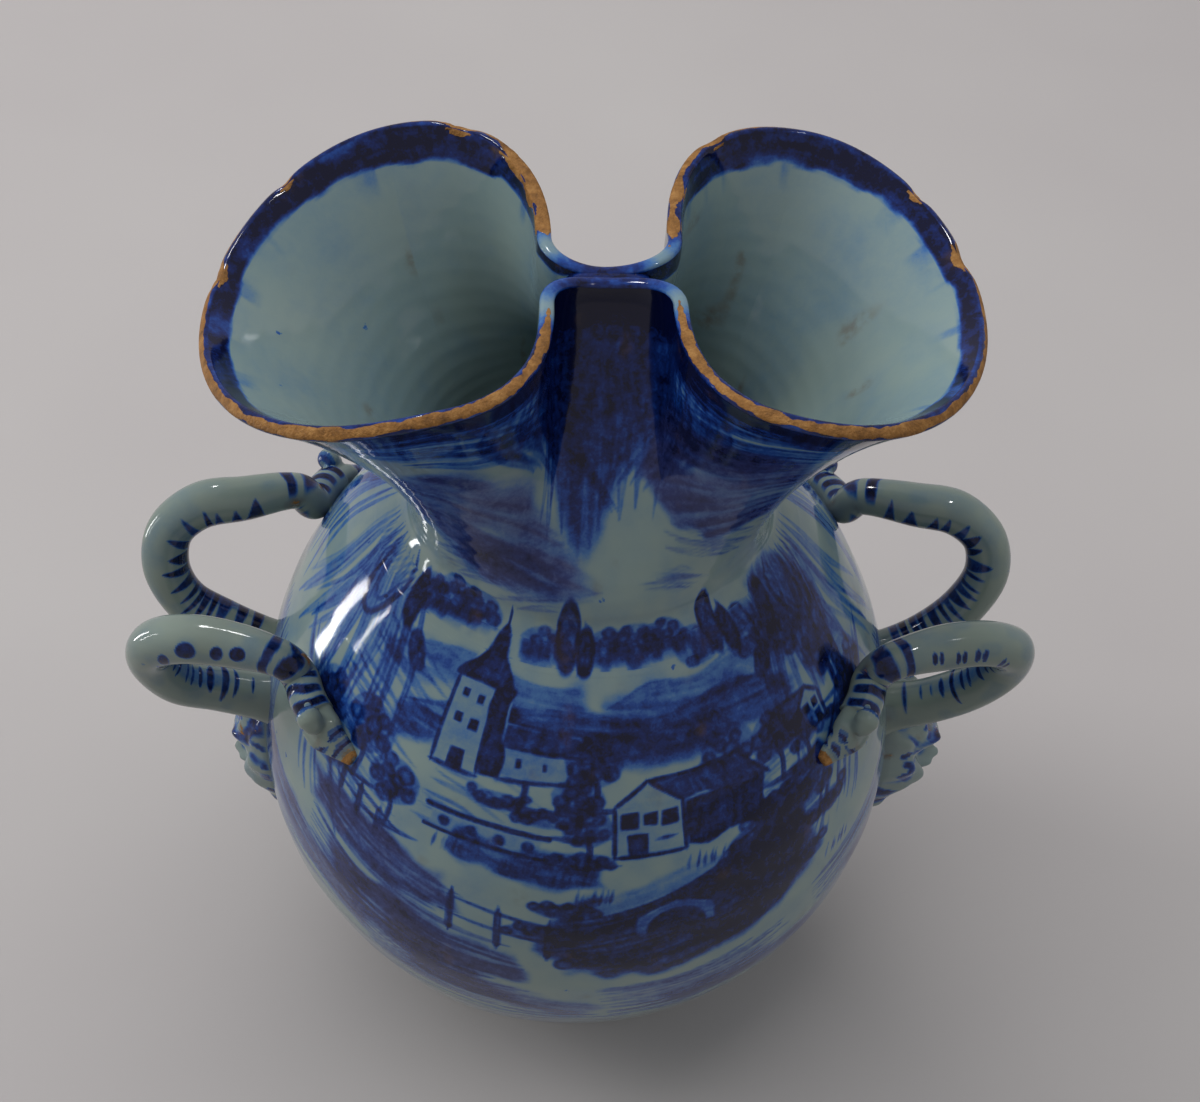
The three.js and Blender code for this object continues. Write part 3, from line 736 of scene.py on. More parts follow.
def paint_near_bank(canvas):
    """Before the village: dark bushes and a pond on the right, water and a fence on the left."""
    lane = [(-30, 2), (-4, 0), (12, -3), (14, -10), (-8, -10), (-34, -6)]
    canvas.wash((-6, 46), lane, 0.45, 0.8, -6, 0, 4, 0.15, 300)
    slope = [(-18, -14), (-2, -7), (16, 2), (40, 10), (46, 2), (26, -8), (4, -20), (-16, -24)]
    canvas.wash((24, 48), slope, 0.7, 0.6, 20, 0, 4, 0.15, 302)
    bank = [(-36, -8), (-30, 10), (-10, 16), (14, 18), (38, 24), (54, 20), (50, 0), (28, -16), (0, -22),
            (-24, -18)]
    canvas.wash((12, 18), bank, 0.8, 0.5, 14, 0, 6, 0.15, 304)
    shade = [(-24, -6), (-10, 12), (16, 20), (34, 18), (34, 0), (12, -12)]
    canvas.wash((24, 16), shade, 0.5, 0.5, 20, 0, 6, 0.15, 305)
    path = [(-22, -4), (-10, 1), (4, 5), (24, 12), (26, 7), (8, 0), (-6, -5), (-18, -8)]
    canvas.reserve((10, 31), path, 0.25, 3)
    canvas.brush((10, 31), [(-24, -8), (-8, -5), (8, 0), (27, 8)], 1.6, 0.8, seed=301)
    arched_bridge(canvas, (15, 17), 24, 10, 330)
    scatter(bush, canvas, ((31, 27, 13, 350), (39, 20, 12, 351), (27, 8, 12, 352), (3, 4, 12, 353),
                           (-8, 16, 10, 354), (47, 34, 11, 355), (-4, 26, 9, 359)), load=1.0)
    scatter(round_tree, canvas, ((36, 36, 12, 356), (27, 33, 9, 357)), load=1.0)
    water = [(-34, 12), (-8, 10), (20, 4), (28, -8), (0, -10), (-30, 0)]
    canvas.wash((-38, 26), water, 0.45, 0.85, -16, 0.6, 5, 0.15, 306)
    shore = [(-38, 12), (-6, 8), (28, 2), (32, -12), (-4, -14), (-36, -4)]
    canvas.wash((-28, 4), shore, 0.5, 0.85, -10, 0.7, 5, 0.15, 308)
    hatching(canvas, (-38, 32), (-28, 10), (-30, -24), (48, -15), 15, 1.9, 0.4, 310, -3, 0.4)
    hatching(canvas, (-24, 6), (-22, 10), (-22, -22), (42, -8), 12, 2.0, 0.4, 326, -2, 0.5)
    fence(canvas, (-50, 38), 3, 8, 11, -0.4, 340)
    fence(canvas, (-24, 10), 3, 15, 17, -0.15, 345)
    bush(canvas, (-58, 44), 10, 358)
    for i, place in enumerate(((-14, 38), (-4, 36), (-26, 40), (44, 24), (50, 12), (20, 38), (0, 30))):
        hatching(canvas, place, (-4, 0), (6, 0.5), (0.8, 4.5), 6, 0.9, 0.5, 360 + 7 * i, 0.1)


def paint_low_ground(canvas):
    """Loose violet strokes round the lower half, and the lines above the foot."""
    for i, (u, s, fall) in enumerate(((-68, 10, -22), (-26, -14, -12), (22, -16, 9), (64, 4, 20), (100, 0, 6),
                                      (140, 4, -4), (180, -6, 3), (-140, 4, 2), (-100, 0, -5))):
        half, seed = fall / 2, 400 + 12 * i
        start, end = (-34, 10 - half), (-28, -14 - half)
        hatching(canvas, (u, s), start, end, (56, fall), 11, 2.6, 0.36, seed, -2, 0.7)
        ground = [(-32, 6 - half), (0, 8), (32, 2 + half), (26, -8 + half), (-22, -8 - half)]
        canvas.wash((u + 10, s - 6), ground, 0.34, 0.9, fall, 0.75, 7, 0, seed)
    for i, u in enumerate(range(-180, 180, 20)):
        rng = np.random.default_rng(520 + i)
        place = (u + rng.uniform(-6, 6), -38 - 7 * math.sin(i * 1.7))
        run = (38, rng.uniform(-5, 5))
        hatching(canvas, place, (-16, 9), (-14, -11), run, 6, 2.4, 0.27, 520 + 9 * i, -1, 0.75)
    canvas.ring(-62, 2.4, 0.7, 700)
    canvas.ring(-68, 1.3, 0.55, 701)
    canvas.ring(-88, 6.0, 0.75, 702)


def paint_shoulders(canvas):
    """Long windblown strokes and leaves beside the handles."""
    for u, flip, load, seed in ((-64, 1, 0.38, 720), (118, 1, 0.45, 760), (62, -1, 0.45, 800),
                                (-118, -1, 0.45, 840)):
        for x, s, start, end, length, count, width, share, step in (
                (0, 82, (-22, 24), (12, 28), (15, -50), 11, 3.4, 1, 0),
                (0, 54, (-24, 16), (4, 12), (27, -42), 10, 2.0, 1, 18),
                (-14, 86, (-12, 22), (8, 24), (-6, -50), 7, 3.6, 0.7, 30)):
            hatching(canvas, (u + flip * x, s), *scaled(flip, 1, (start, end, length)), count, width,
                     share * load, seed + step, 5 * flip)
        leaf(canvas, (u + flip * 9, 102), 19, 6, -flip * 1.25, 0.7, seed + 32)
        leaf(canvas, (u + flip * 18, 91), 13, 6, -flip * 0.9, 0.55, seed + 34)
        curl = scaled(flip, 1, [(-10, 6), (-6, -10), (0, -14), (4, 0), (-1, 9)])
        canvas.brush((u, 102), curl, 1.8, 0.7, seed=seed + 36)
        curl = scaled(flip, 1, [(-7, 4), (-4, -7), (0, -9), (2, 0)])
        canvas.brush((u, 102), curl, 1.3, 0.5, seed=seed + 37)
    shade = [(-12, 18), (4, 20), (14, 4), (8, -16), (-6, -20), (-12, -4)]
    canvas.wash((62, 92), shade, 0.34, 0.95, 64, 0, 6, 0.15, 870)
    for u in (-88, 88):
        hatching(canvas, (u, 20), (-12, 32), (14, 28), (4, -48), 10, 2.8, 0.34, 880 + u, 3, 0.7)
    round_tree(canvas, (-60, 58), 11, 901, load=0.7)
    scatter(round_tree, canvas, ((66, 62, 12, 902), (60, 76, 10, 904)), load=0.75)
    bush(canvas, (58, 58), 10, 903)


def paint_back(canvas):
    """The landscape goes on round the back, with hills, a farm and rows of trees."""
    hill(canvas, (180, 90), [(-60, -4), (-30, 3), (0, -2), (28, 5), (62, -2)], 18, 0.5, 920)
    hill(canvas, (150, 70), [(-30, 0), (0, 5), (30, -2)], 14, 0.4, 921)
    for i, height in enumerate((16, 20, 14, 18)):
        cypress(canvas, (160 + 4.2 * i, 92), height, 925 + i, 4.4)
    scatter(round_tree, canvas, (
        (130, 84, 11, 931), (142, 78, 9, 932), (-140, 84, 11, 933), (-152, 90, 9, 934), (-168, 56, 11, 935),
        (126, 48, 11, 936), (-126, 50, 12, 937), (154, 60, 10, 938), (-164, 92, 10, 939), (174, 90, 11, 941),
        (-178, 86, 9, 942), (-140, 66, 9, 943), (164, 82, 8, 944),
    ))
    gable_house(canvas, (172, 54), 15, 12, 940, flip=-1)
    gable_house(canvas, (-152, 58), 12, 10, 945, windows=2)
    scatter(bush, canvas, ((150, 46, 10, 951), (-176, 42, 9, 952)))
    meadow = [(-50, 4), (-10, 10), (34, 6), (52, -6), (10, -14), (-44, -10)]
    canvas.wash((178, 26), meadow, 0.6, 0.6, 4, 0, 5, 0.15, 955)
    fence(canvas, (134, 26), 5, 9, 10, 0.05, 960)
    garden_wall(canvas, (-166, 44), 26, 6, 0.05, 965)
    hatching(canvas, (172, 72), (-44, 6), (-40, -12), (60, -4), 11, 1.7, 0.3, 970, 2)
    hatching(canvas, (-146, 70), (-26, 10), (-22, -12), (44, 5), 10, 1.7, 0.3, 985, -2)


def paint_canvas():
    canvas = Canvas()
    for paint in (paint_sky, paint_under_lip, paint_low_ground, paint_shoulders, paint_far_hills,
                  paint_village, paint_near_bank, paint_back):
        paint(canvas)
    u, s = np.meshgrid(canvas.us, canvas.ss)
    mist = lattice_noise(u / 12 + 15, s / 16 + 30, 61, wrap=30)
    mist = mist * lattice_noise(u / 4 + 45, s / 7 + 9, 62, wrap=90)
    canvas.cobalt += (0.1 * mist).astype(np.float32)
    spots = smoothstep(lattice_noise(u / 6 + 30, s / 8 + 4, 63, wrap=60), 0.8, 1.0)
    canvas.stain += (0.25 * spots).astype(np.float32)
    return canvas


# Neck: the same wall as the frame's, more finely divided
def rim_quarter(reach, bridge_half):
    """Points along a quarter of the rim seen from above, from a mouth's far end to the bridge's middle."""
    seam_y = LIP_WALL + BRIDGE_SEAM / 2
    turn_y = seam_y + 10
    deep_x, deep_y = MOUTH_DEEPEST_X, MOUTH_HALF_DEPTH
    far, near = reach - deep_x, deep_x - bridge_half
    beziers = (
        ((reach, 0), (reach, 0.55 * deep_y), (deep_x + 0.57 * far, deep_y), (deep_x, deep_y)),
        ((deep_x, deep_y), (deep_x - 0.6 * near, deep_y), (bridge_half, 0.78 * deep_y),
         (bridge_half, turn_y)),
        ((bridge_half, turn_y), (bridge_half, seam_y + 3), (0.62 * bridge_half, seam_y), (0, seam_y)),
    )
    t = np.linspace(0, 1, 301)[:, None]
    runs = [a * (1 - t) ** 3 + 3 * b * t * (1 - t) ** 2 + 3 * c * t ** 2 * (1 - t) + d * t ** 3
            for a, b, c, d in np.array(beziers, float)]
    points = np.vstack([runs[0], runs[1][1:], runs[2][1:]])
    length = length_along(points)
    return points, length / length[-1]


def lip_line(side, along):
    """The lip's place from above, its direction and its height, at shares of the way along a quarter."""
    points, length = rim_quarter(side["reach"], side["bridge_half"])
    lip = at_lengths(points, length, along)
    ahead = at_lengths(points, length, np.minimum(1, along + 0.004))
    behind = at_lengths(points, length, np.maximum(0, along - 0.004))
    beyond = np.maximum(0, lip[:, 0] - MOUTH_CREST_X) / (side["reach"] - MOUTH_CREST_X)
    to_bridge = 1 - smoothstep(lip[:, 0], 0, 1.7 * side["bridge_half"])
    return lip, unit(ahead - behind), LIP_CREST_Z - side["droop"] * beyond ** 1.6 - BRIDGE_DIP * to_bridge


def neck_wall(degrees, rows):
    """The neck's outside, by degrees from the front and rows from 0 at its foot to 1 at the lip."""
    phi = np.radians(degrees - 90)
    signs = [np.where(way >= 0, 1, -1) for way in (np.cos(phi), np.sin(phi))]
    sign = np.stack([*signs, np.ones_like(phi)], -1)
    angle = np.arccos(np.clip(np.abs(np.cos(phi)), 0, 1))
    along = 1 - (1 - angle / (math.pi / 2)) ** 1.25
    lip, tangent = np.zeros((2, len(phi), 2))
    height = np.zeros(len(phi))
    for side in SIDES.values():
        mine = sign[:, 0] == side["sign"]
        lip[mine], tangent[mine], height[mine] = lip_line(side, along[mine])
    inner = np.maximum(0, -tangent[:, 0]) * (lip[:, 1] / MOUTH_HALF_DEPTH)
    spread = np.where(tangent[:, 1] < 0, inner, 1.0)
    out = eased_round(spread * (FRONT_LEAN + (OUTER_LEAN - FRONT_LEAN) * np.maximum(0, tangent[:, 1])))
    pull = PINCHED_LIP_PULL + (FLARED_LIP_PULL - PINCHED_LIP_PULL) * eased_round(spread)
    foot = NECK_RADIUS * np.cos(angle), NECK_RADIUS * np.sin(angle), np.full_like(angle, NECK_Z)
    top = np.concatenate([lip, height[:, None]], -1)
    rise = (height - NECK_Z)[:, None]
    up = np.concatenate([np.zeros_like(lip), FOOT_PULL * rise], -1)
    lean = np.stack([tangent[:, 1] * np.sin(out), -tangent[:, 0] * np.sin(out), np.cos(out)], -1)
    return hermite(np.stack(foot, -1), top, up, lean * pull[:, None] * rise, rows[:, None, None]) * sign


def eased_round(values):
    """Takes sharp turns out of a value that goes round the columns."""
    for _ in range(60):
        values = (np.roll(values, 1) + 2 * values + np.roll(values, -1)) / 4
    return values


# Places where the rim is chipped: degrees from the front, degrees wide, and depth
RIM_CHIPS = (
    (-148, 9, 1.0), (-136, 5, 0.8), (-162, 5, 1.6), (-155, 5, 1.3), (160, 4, 0.9), (152, 5, 0.8),
    (139, 4, 0.6), (97, 5, 1.0), (108, 3, 0.8), (-97, 4, 0.9), (-112, 3, 0.7), (62, 3, 0.5), (-58, 3, 0.5),
)


def rim_wear(degrees):
    """How far the rim is chipped for each column, and the part of the lip that is worn bare.

    The bare part is given by its middle and half its width, as angles round the lip from its outside.
    """
    chips = sum(depth * bell(from_front(degrees - u), 0, width / 2) for u, width, depth in RIM_CHIPS)
    away = np.abs(from_front(degrees))
    front = smoothstep(-away, -114, -88)
    at_bridge = np.maximum(smoothstep(-away, -21, -15), smoothstep(away, 162, 168))
    patchy = lattice_noise(degrees / 2.5 + 200, 5.0, 72) - 0.5
    spread = 23 + 15 * front + (22 + 12 * front) * patchy
    half = spread * (1 - at_bridge) + 95 * np.clip(chips - 0.15, 0, 1) - 12 * at_bridge
    return chips, 72 + 8 * front, half


def neck_piece(canvas, material):
    rows = np.linspace(0, 1, NECK_ROWS)
    share = rows[:, None]
    wall = neck_wall(COLUMNS, rows)
    normals = grid_normals(wall)
    wear = rim_wear(COLUMNS)
    thickness = NECK_WALL + (LIP_WALL - NECK_WALL) * share
    hand = 0.7 * (lattice_noise(COLUMNS / 18 + 20, share * 4 + 3, 31, wrap=20) - 0.5) * share
    throwing = 0.03 * np.sin(share * 95) * (1 - share)
    outer = wall + normals * (hand + throwing)[..., None]
    inner = wall + normals * (hand - 2 * throwing - thickness)[..., None]
    roll = lip_roll(outer[-1], inner[-1], unit(wall[-1] - wall[-3]), wear[0])
    inside_rows = np.linspace(NECK_ROWS - 1, 0, INSIDE_ROWS).round().astype(int)
    base = turned(NECK_RADIUS - NECK_WALL, COLLAR_Z + 5)
    grid = np.concatenate([neck_fillet(outer[0]), outer[1:], roll, inner[inside_rows], base[None]])
    faces = grid_faces(len(grid), len(COLUMNS), True)
    layers = neck_layers(canvas, rows, inside_rows, *wear)
    return make_object("neck_with_two_mouths", grid, faces, material, layers)


# The fillet's hidden rows in the globe: how far back down the wall, and how deep
SKIRT = ((3.0, 1.2), (1.0, 0.25))


def neck_fillet(first_ring):
    """The wall's foot, which comes out of the globe's skin and flows up without a step."""
    slope = unit(np.array([-GLOBE_RADIUS * math.sin(JOINT_ANGLE), GLOBE_RISE * math.cos(JOINT_ANGLE)]))
    outward = np.array([slope[1], -slope[0]])
    start = np.array([JOINT_RADIUS, JOINT_Z]) + 0.03 * outward
    end = np.stack([np.hypot(first_ring[:, 0], first_ring[:, 1]), first_ring[:, 2]], -1)
    t = np.linspace(0, 1, FILLET_ROWS)[:, None, None]
    section = hermite(start, end, slope * FILLET_LENGTH, np.array([0, FILLET_LENGTH]), t)
    skirt = [np.broadcast_to(start - slope * back - outward * sink, end.shape) for back, sink in SKIRT]
    section = np.concatenate([skirt, section])
    return turned(section[..., 0], section[..., 1])


def signed_power(values, power):
    return np.sign(values) * np.abs(values) ** power


def lip_turns():
    return np.linspace(0, math.pi, ROLL_ROWS + 2)[1:-1]


def lip_roll(outer, inner, up, chips):
    """The rounded lip, worn down a little where it is chipped."""
    turn = lip_turns()[:, None, None]
    middle, half = (outer + inner) / 2, (outer - inner) / 2
    ragged = 1 + 0.6 * (lattice_noise(COLUMNS / 0.9 + 400, 1.0, 33) - 0.5)
    worn = np.clip(chips * ragged, 0, 1.2)[:, None]
    across = signed_power(np.cos(turn), 0.8) * (1 - 0.12 * worn)
    return middle + half * across + up * (LIP_ROUND - worn) * np.sin(turn) ** 0.75


def inner_band_width(degrees):
    """How far the blue band reaches down inside the rim."""
    away = np.abs(from_front(degrees))
    back = smoothstep(away, 96, 125)
    side = bell(away, 92, 26)
    width = 1.0 + 7.2 * back + 5.5 * side * (1 - 0.6 * back)
    return width * (1 - 0.75 * bell(away, 180, 13)) * (1 - 0.9 * bell(away, 0, 40))


def neck_layers(canvas, rows, inside_rows, chips, worn_middle, worn_half):
    """Pigment, stain and bare clay on each point of the neck, from its foot up and over to its inside."""
    u = COLUMNS[None, :]
    fillet_s = JOINT_S + FILLET_LENGTH * np.linspace(0, 1, FILLET_ROWS)
    skirt_s = [JOINT_S - back for back, _ in SKIRT]
    outside_s = np.concatenate([skirt_s, fillet_s, NECK_S + NECK_LENGTH * rows[1:]])[:, None] + 0 * u
    painted = canvas.sample(0 * outside_s + u, outside_s)
    from_lip = NECK_S + NECK_LENGTH - outside_s
    streaks = lattice_noise(from_lip / 1.2 + 20, u / 16 + 15, 81)
    reach = 7 + 8 * lattice_noise(u / 22 + 9, 2.0, 82)
    under_lip = smoothstep(reach - from_lip, -4, 5) * (0.25 + 0.85 * streaks)

    depth = NECK_LENGTH * (1 - rows[inside_rows])[:, None]
    ragged = 2.4 * (lattice_noise(u / 3.2 + 60, depth / 40, 84) - 0.5)
    ragged = ragged + 4 * (lattice_noise(u / 11 + 30, 1.0, 85) - 0.5)
    band_edge = inner_band_width(u) + ragged
    along = lattice_noise(depth / 1.6 + 10, u / 9 + 44, 86)
    thin = smoothstep(lattice_noise(u / 6 + 13, depth / 9 + 2, 90), 0.62, 0.85)
    inside = smoothstep(band_edge - depth, -0.7, 0.9) * (0.92 + 0.5 * (along - 0.5)) * (1 - 0.55 * thin)
    drips = smoothstep(lattice_noise(u / 2.2 + 70, 0.0, 87), 0.62, 0.9)
    drips = drips * smoothstep(band_edge + 6 - depth, -3, 4)
    cloudy = lattice_noise(u / 14 + 12, depth / 26 + 8, 91)
    inside = inside + 0.16 * drips * (inside < 0.3) + 0.06 * cloudy
    inner_stain = 0.6 * smoothstep(lattice_noise(u / 7 + 21, depth / 18 + 3, 88), 0.86, 1.0)

    turn = np.degrees(lip_turns())[:, None]
    fray = 22 * (lattice_noise(u / 0.8 + 300, turn / 40, 89) - 0.5)
    lip_bare = smoothstep(worn_half[None] + fray - np.abs(turn - worn_middle[None]), -12, 8)
    away = np.abs(from_front(u))
    pale = np.maximum(bell(away, 16, 5), bell(away, 168, 4))
    lip_blue = (0.75 + 0.4 * (lattice_noise(u / 3 + 130, turn / 30, 92) - 0.5)) * (1 - 0.9 * pale)
    flaked = np.clip(chips - 0.35, 0, 1)[None]
    outside_bare = smoothstep(3.2 * flaked - from_lip / 1.2, -0.3, 0.5) * (flaked > 0.05)
    inside_bare = smoothstep(4.2 * flaked + 1.5 * (along - 0.5) - depth, -0.3, 0.5) * (flaked > 0.05)
    clear_lip, clear_inside, last = 0 * lip_bare, 0 * inside, 0 * u
    return dict(cobalt=np.concatenate([painted["cobalt"] + under_lip, lip_blue, inside, last]),
                violet=np.concatenate([painted["violet"], clear_lip, clear_inside, last]),
                stain=np.concatenate([painted["stain"], clear_lip, inner_stain, last]),
                biscuit=np.concatenate([outside_bare, lip_bare, inside_bare, last]))


def bridge_piece(material):
    """The clay pressed into the seam where the front and back lips meet."""
    left, right = (0.9 * SIDES[name]["bridge_half"] for name in ("left", "right"))
    x = np.linspace(-left, right, 61)[:, None]
    around = full_turn(40)
    share = np.abs(np.where(x > 0, x / right, x / left))
    ends = np.maximum(0.02, 1 - share ** 5) ** 0.5
    top = LIP_CREST_Z - BRIDGE_DIP + LIP_ROUND - 0.2 + 0.6 * share ** 2 - 3 * share ** 6
    y = (LIP_WALL + 0.05) * ends * signed_power(np.cos(around), 0.7)
    z = top - 8 + 8 * ends * signed_power(np.sin(around), 0.6)
    grid = np.stack(np.broadcast_arrays(x, y, z), -1)
    noise = lattice_noise(grid[..., 0] / 2.5 + 30, grid[..., 1] / 2 + 30, 95)
    layers = dict(cobalt=0.85 + 0.35 * (noise - 0.5))
    return make_object("bridge_between_lips", grid, capped(grid), material, layers)


def globe_piece(canvas, material):
    """The globe's outside from its seat up to the throat, and its inside down to the flat floor."""
    outside_s = np.concatenate([np.arange(PROFILE_S[0], 0, 1.0), np.arange(0, JOINT_S, 0.55), [JOINT_S],
                                np.linspace(JOINT_S, PROFILE_S[-1], 8)[1:]])
    inner_radius = GLOBE_RADIUS - GLOBE_WALL
    angle = np.linspace(math.acos(THROAT_RADIUS / inner_radius), -1.1, 40)
    tall = np.where(angle > 0, GLOBE_RISE - GLOBE_WALL, inner_radius)
    floor_z = SEAT_Z + GLOBE_FLOOR - CENTRE_Z
    inner = np.stack([inner_radius * np.cos(angle), np.maximum(tall * np.sin(angle), floor_z)], -1)
    outer = at_lengths(PROFILE, PROFILE_S, outside_s)
    section = np.vstack([(1.0, SEAT_Z - CENTRE_Z), outer, inner, (1.0, floor_z)])
    grid = turned(section[:, :1], section[:, 1:])
    outside = slice(1, 1 + len(outside_s))
    fade = (smoothstep(JOINT_S - outside_s, 0, 20) * smoothstep(outside_s - PROFILE_S[0], 0, 12))[:, None]
    hand = 0.9 * (lattice_noise(COLUMNS / 24 + 15, outside_s[:, None] / 30 + 9, 41, wrap=15) - 0.5)
    rings = 0.07 * np.sin(outside_s / 2.3)[:, None]
    grid[outside] *= 1 + (fade * (hand + rings))[..., None] / GLOBE_RADIUS
    layers = {}
    for name, painted in canvas.sample(*np.meshgrid(COLUMNS, outside_s)).items():
        layers[name] = np.zeros(grid.shape[:2])
        layers[name][outside] = painted
    return make_object("globe_glazed", grid, capped(grid), material, layers)


def foot_piece(material):
    seat, base = FOOT_SEAT_RADIUS, FOOT_BASE_RADIUS
    top = FOOT_HEIGHT + 0.1
    corners = [(base - FOOT_WIDTH + 1.5, 0), (base - 1.8, 0), (base - 0.5, 0.5), (base, 1.8),
               (base - 0.2, 4), (base - 1.9, 7.5), (seat + 0.6, 11), (seat + 0.4, top - 0.5),
               (seat + 1.5, top), (seat - FOOT_WIDTH, top), (base - FOOT_WIDTH - 1.5, 7),
               (base - FOOT_WIDTH, 1.5)]
    profile = smooth_line(corners + corners[:1], 0.8)[:-1]
    radius, height = profile[:, :1], np.clip(profile[:, 1:], 0, FOOT_HEIGHT + 0.15)
    grid = turned(radius, height - CENTRE_Z)
    wave = lattice_noise(COLUMNS / 5 + 72, height / 3, 51, wrap=72)
    line = bell(height, 9.5, 0.9) * (radius > seat - 2)
    layers = dict(cobalt=0.7 * line * (0.5 + wave), stain=0.35 * wave,
                  biscuit=smoothstep(-height + 2.2 * wave, -1.6, 0.4))
    faces = grid_faces(len(grid), len(COLUMNS), True)
    return make_object("foot_ring_turned", grid, faces, material, layers)


# Handles
def serpent_line(side):
    """The middle line of the right side's back serpent, from the mask's brow to the tip of the jaw."""

    def loop(share, y, z):
        return (GLOBE_RADIUS + share * (HANDLE_REACH - GLOBE_RADIUS), y, z)

    drop = side["limb_drop"]
    points = np.array([
        over_globe(10.5, drop - 1.5, -COIL_RADIUS / 2),
        loop(0.42, 13.5, drop + 7),
        loop(0.81, 16.5, 33),
        loop(1, 19.5, 46),
        loop(0.93, 23.5, 57.5),
        loop(0.62, 27.5, 64.5),
        loop(0.2, 30, 65.5),
        over_globe(31.5, 59, COIL_LIFT + 6),
        over_globe(34.5, 56, COIL_LIFT),
        over_globe(41.5, 54.5, COIL_LIFT),
        over_globe(51, 52.5, 0.8 * COIL_LIFT),
        over_globe(60, 49.5, 0.3 * COIL_LIFT),
    ])
    return even_line(centripetal_line(points, 40), COIL_STEP)


def coil_strokes(millimetres, facing, is_front, rng):
    """Pointed brush marks round the coil, from the inside of the loop."""
    cobalt = (0.2 if is_front else 0.5) * smoothstep(facing, 0.88, 0.99)
    length = millimetres[-1]
    at = 12.0
    while at < 0.76 * length:
        if is_front:
            reach, width, pitch = 0.8, 1.1, 5.0
        else:
            reach, width, pitch = (0.0, 1.7, 4.4) if at < 0.42 * length else (0.0, 2.8, 6.0)
        reach = min(reach + rng.uniform(-0.3, 0.25), 0.88)
        width *= rng.uniform(0.6, 1.25)
        rise = np.clip((facing - reach) / (0.97 - reach), 0, 1)
        bow = 0.8 * rng.uniform(-1, 1) * (1 - rise)
        off = np.abs(millimetres[:, None] - at - bow)
        mark = smoothstep(width * rise ** 0.8 - off, -0.35, 0.5) * (rise > 0)
        cobalt = np.maximum(cobalt, mark * rng.uniform(0.55, 0.95))
        at += pitch * rng.uniform(0.7, 1.3)
    return cobalt


def coil_touches(millimetres, seen, paired, rng):
    """Round touches along the top of a front coil, single or in pairs."""
    cobalt = np.zeros_like(seen)
    length = millimetres[-1]
    at = 0.5 * length
    while at < 0.76 * length:
        long, wide = (0.75, 0.33) if paired else (rng.uniform(1.8, 2.7), rng.uniform(0.3, 0.42))
        for shift in (-1.1, 1.1) if paired else (0,):
            ahead = (millimetres[:, None] - at - shift) / long
            touch = 1 - np.hypot(ahead, np.arccos(np.clip(seen, -1, 1)) / wide)
            cobalt = np.maximum(cobalt, smoothstep(touch, -0.12, 0.2) * rng.uniform(0.65, 0.9))
        at += rng.uniform(5.0, 9.5)
    return cobalt


def coil_bands(millimetres, top, ragged, rng):
    """Bands over the coil's outer side, where it lies on the shoulder."""
    cobalt = np.zeros_like(top)
    for at in np.arange(0.8 * millimetres[-1], millimetres[-1] + 3, 4.8):
        across = millimetres[:, None] - at + 1.2 * ragged + 1.5 * top ** 2
        band = smoothstep(1.35 - np.abs(across), -0.3, 0.5) * smoothstep(top, -0.5, -0.1)
        cobalt = np.maximum(cobalt, band * rng.uniform(0.75, 0.98))
    return cobalt


def handle_piece(name, side, depth_sign, seed, material):
    line = serpent_line(side)
    count = len(line) - int(HEAD_LENGTH / COIL_STEP) + 6
    line = line[:count]
    share = np.linspace(0, 1, count)
    millimetres = share * count * COIL_STEP
    rows = millimetres[:, None]
    turn = full_turn(COIL_AROUND)
    radius = COIL_RADIUS + (COIL_END_RADIUS - COIL_RADIUS) * smoothstep(share, 0.6, 0.9)
    radius = radius + 2.6 * np.exp(-millimetres / 5)
    rolled = 0.55 * (lattice_noise(rows / 13 + 5, np.cos(turn) * 1.2 + 5, seed) - 0.5)
    grid, arms = tube_grid(line, radius[:, None] + rolled, (0, 0, 1), COIL_AROUND)

    # How far each point of the skin faces the loop's middle, the viewer and the outside
    middle = np.array([GLOBE_RADIUS + 8, 21, 44 + 0.2 * side["limb_drop"]])
    to_middle = unit(middle - line)
    tangent = unit(np.gradient(line, axis=0))
    above = np.array([0.1, 0.55, 0.75]) + 0.75 * to_middle
    above = unit(above - np.sum(above * tangent, -1, keepdims=True) * tangent)
    outward = unit(line * (1, 1, 0.75))
    facing, seen, top = (np.einsum("ijk,ik->ij", arms, way) for way in (to_middle, above, outward))

    rng = np.random.default_rng(seed)
    is_front = depth_sign < 0
    cobalt = coil_strokes(millimetres, facing, is_front, rng)
    if is_front:
        cobalt = np.maximum(cobalt, coil_touches(millimetres, seen, side["sign"] > 0, rng))
    cobalt = cobalt * (smoothstep(0.8 - share, 0, 0.05) * smoothstep(share, 0.03, 0.08))[:, None]
    ragged = lattice_noise(turn * 1.6 + 4, rows / 5 + 6, seed + 2) - 0.5
    cobalt = np.maximum(cobalt, coil_bands(millimetres, top, ragged, rng))
    under = smoothstep(lattice_noise(rows / 6 + 9, turn * 1.5 + 3, seed + 1), 0.45, 0.8)
    landing = bell(share, 0.84, 0.07)[:, None] * smoothstep(-top, -0.1, 0.5)
    root = np.exp(-rows / 6) + landing
    layers = dict(cobalt=cobalt + 0.05 * under, stain=np.clip(0.8 * root * under, 0, 1),
                  biscuit=0.6 * root * smoothstep(under, 0.7, 1.0))
    points, faces = mirrored(grid, capped(grid), side["sign"], depth_sign)
    return make_object(name, points, faces, material, layers)


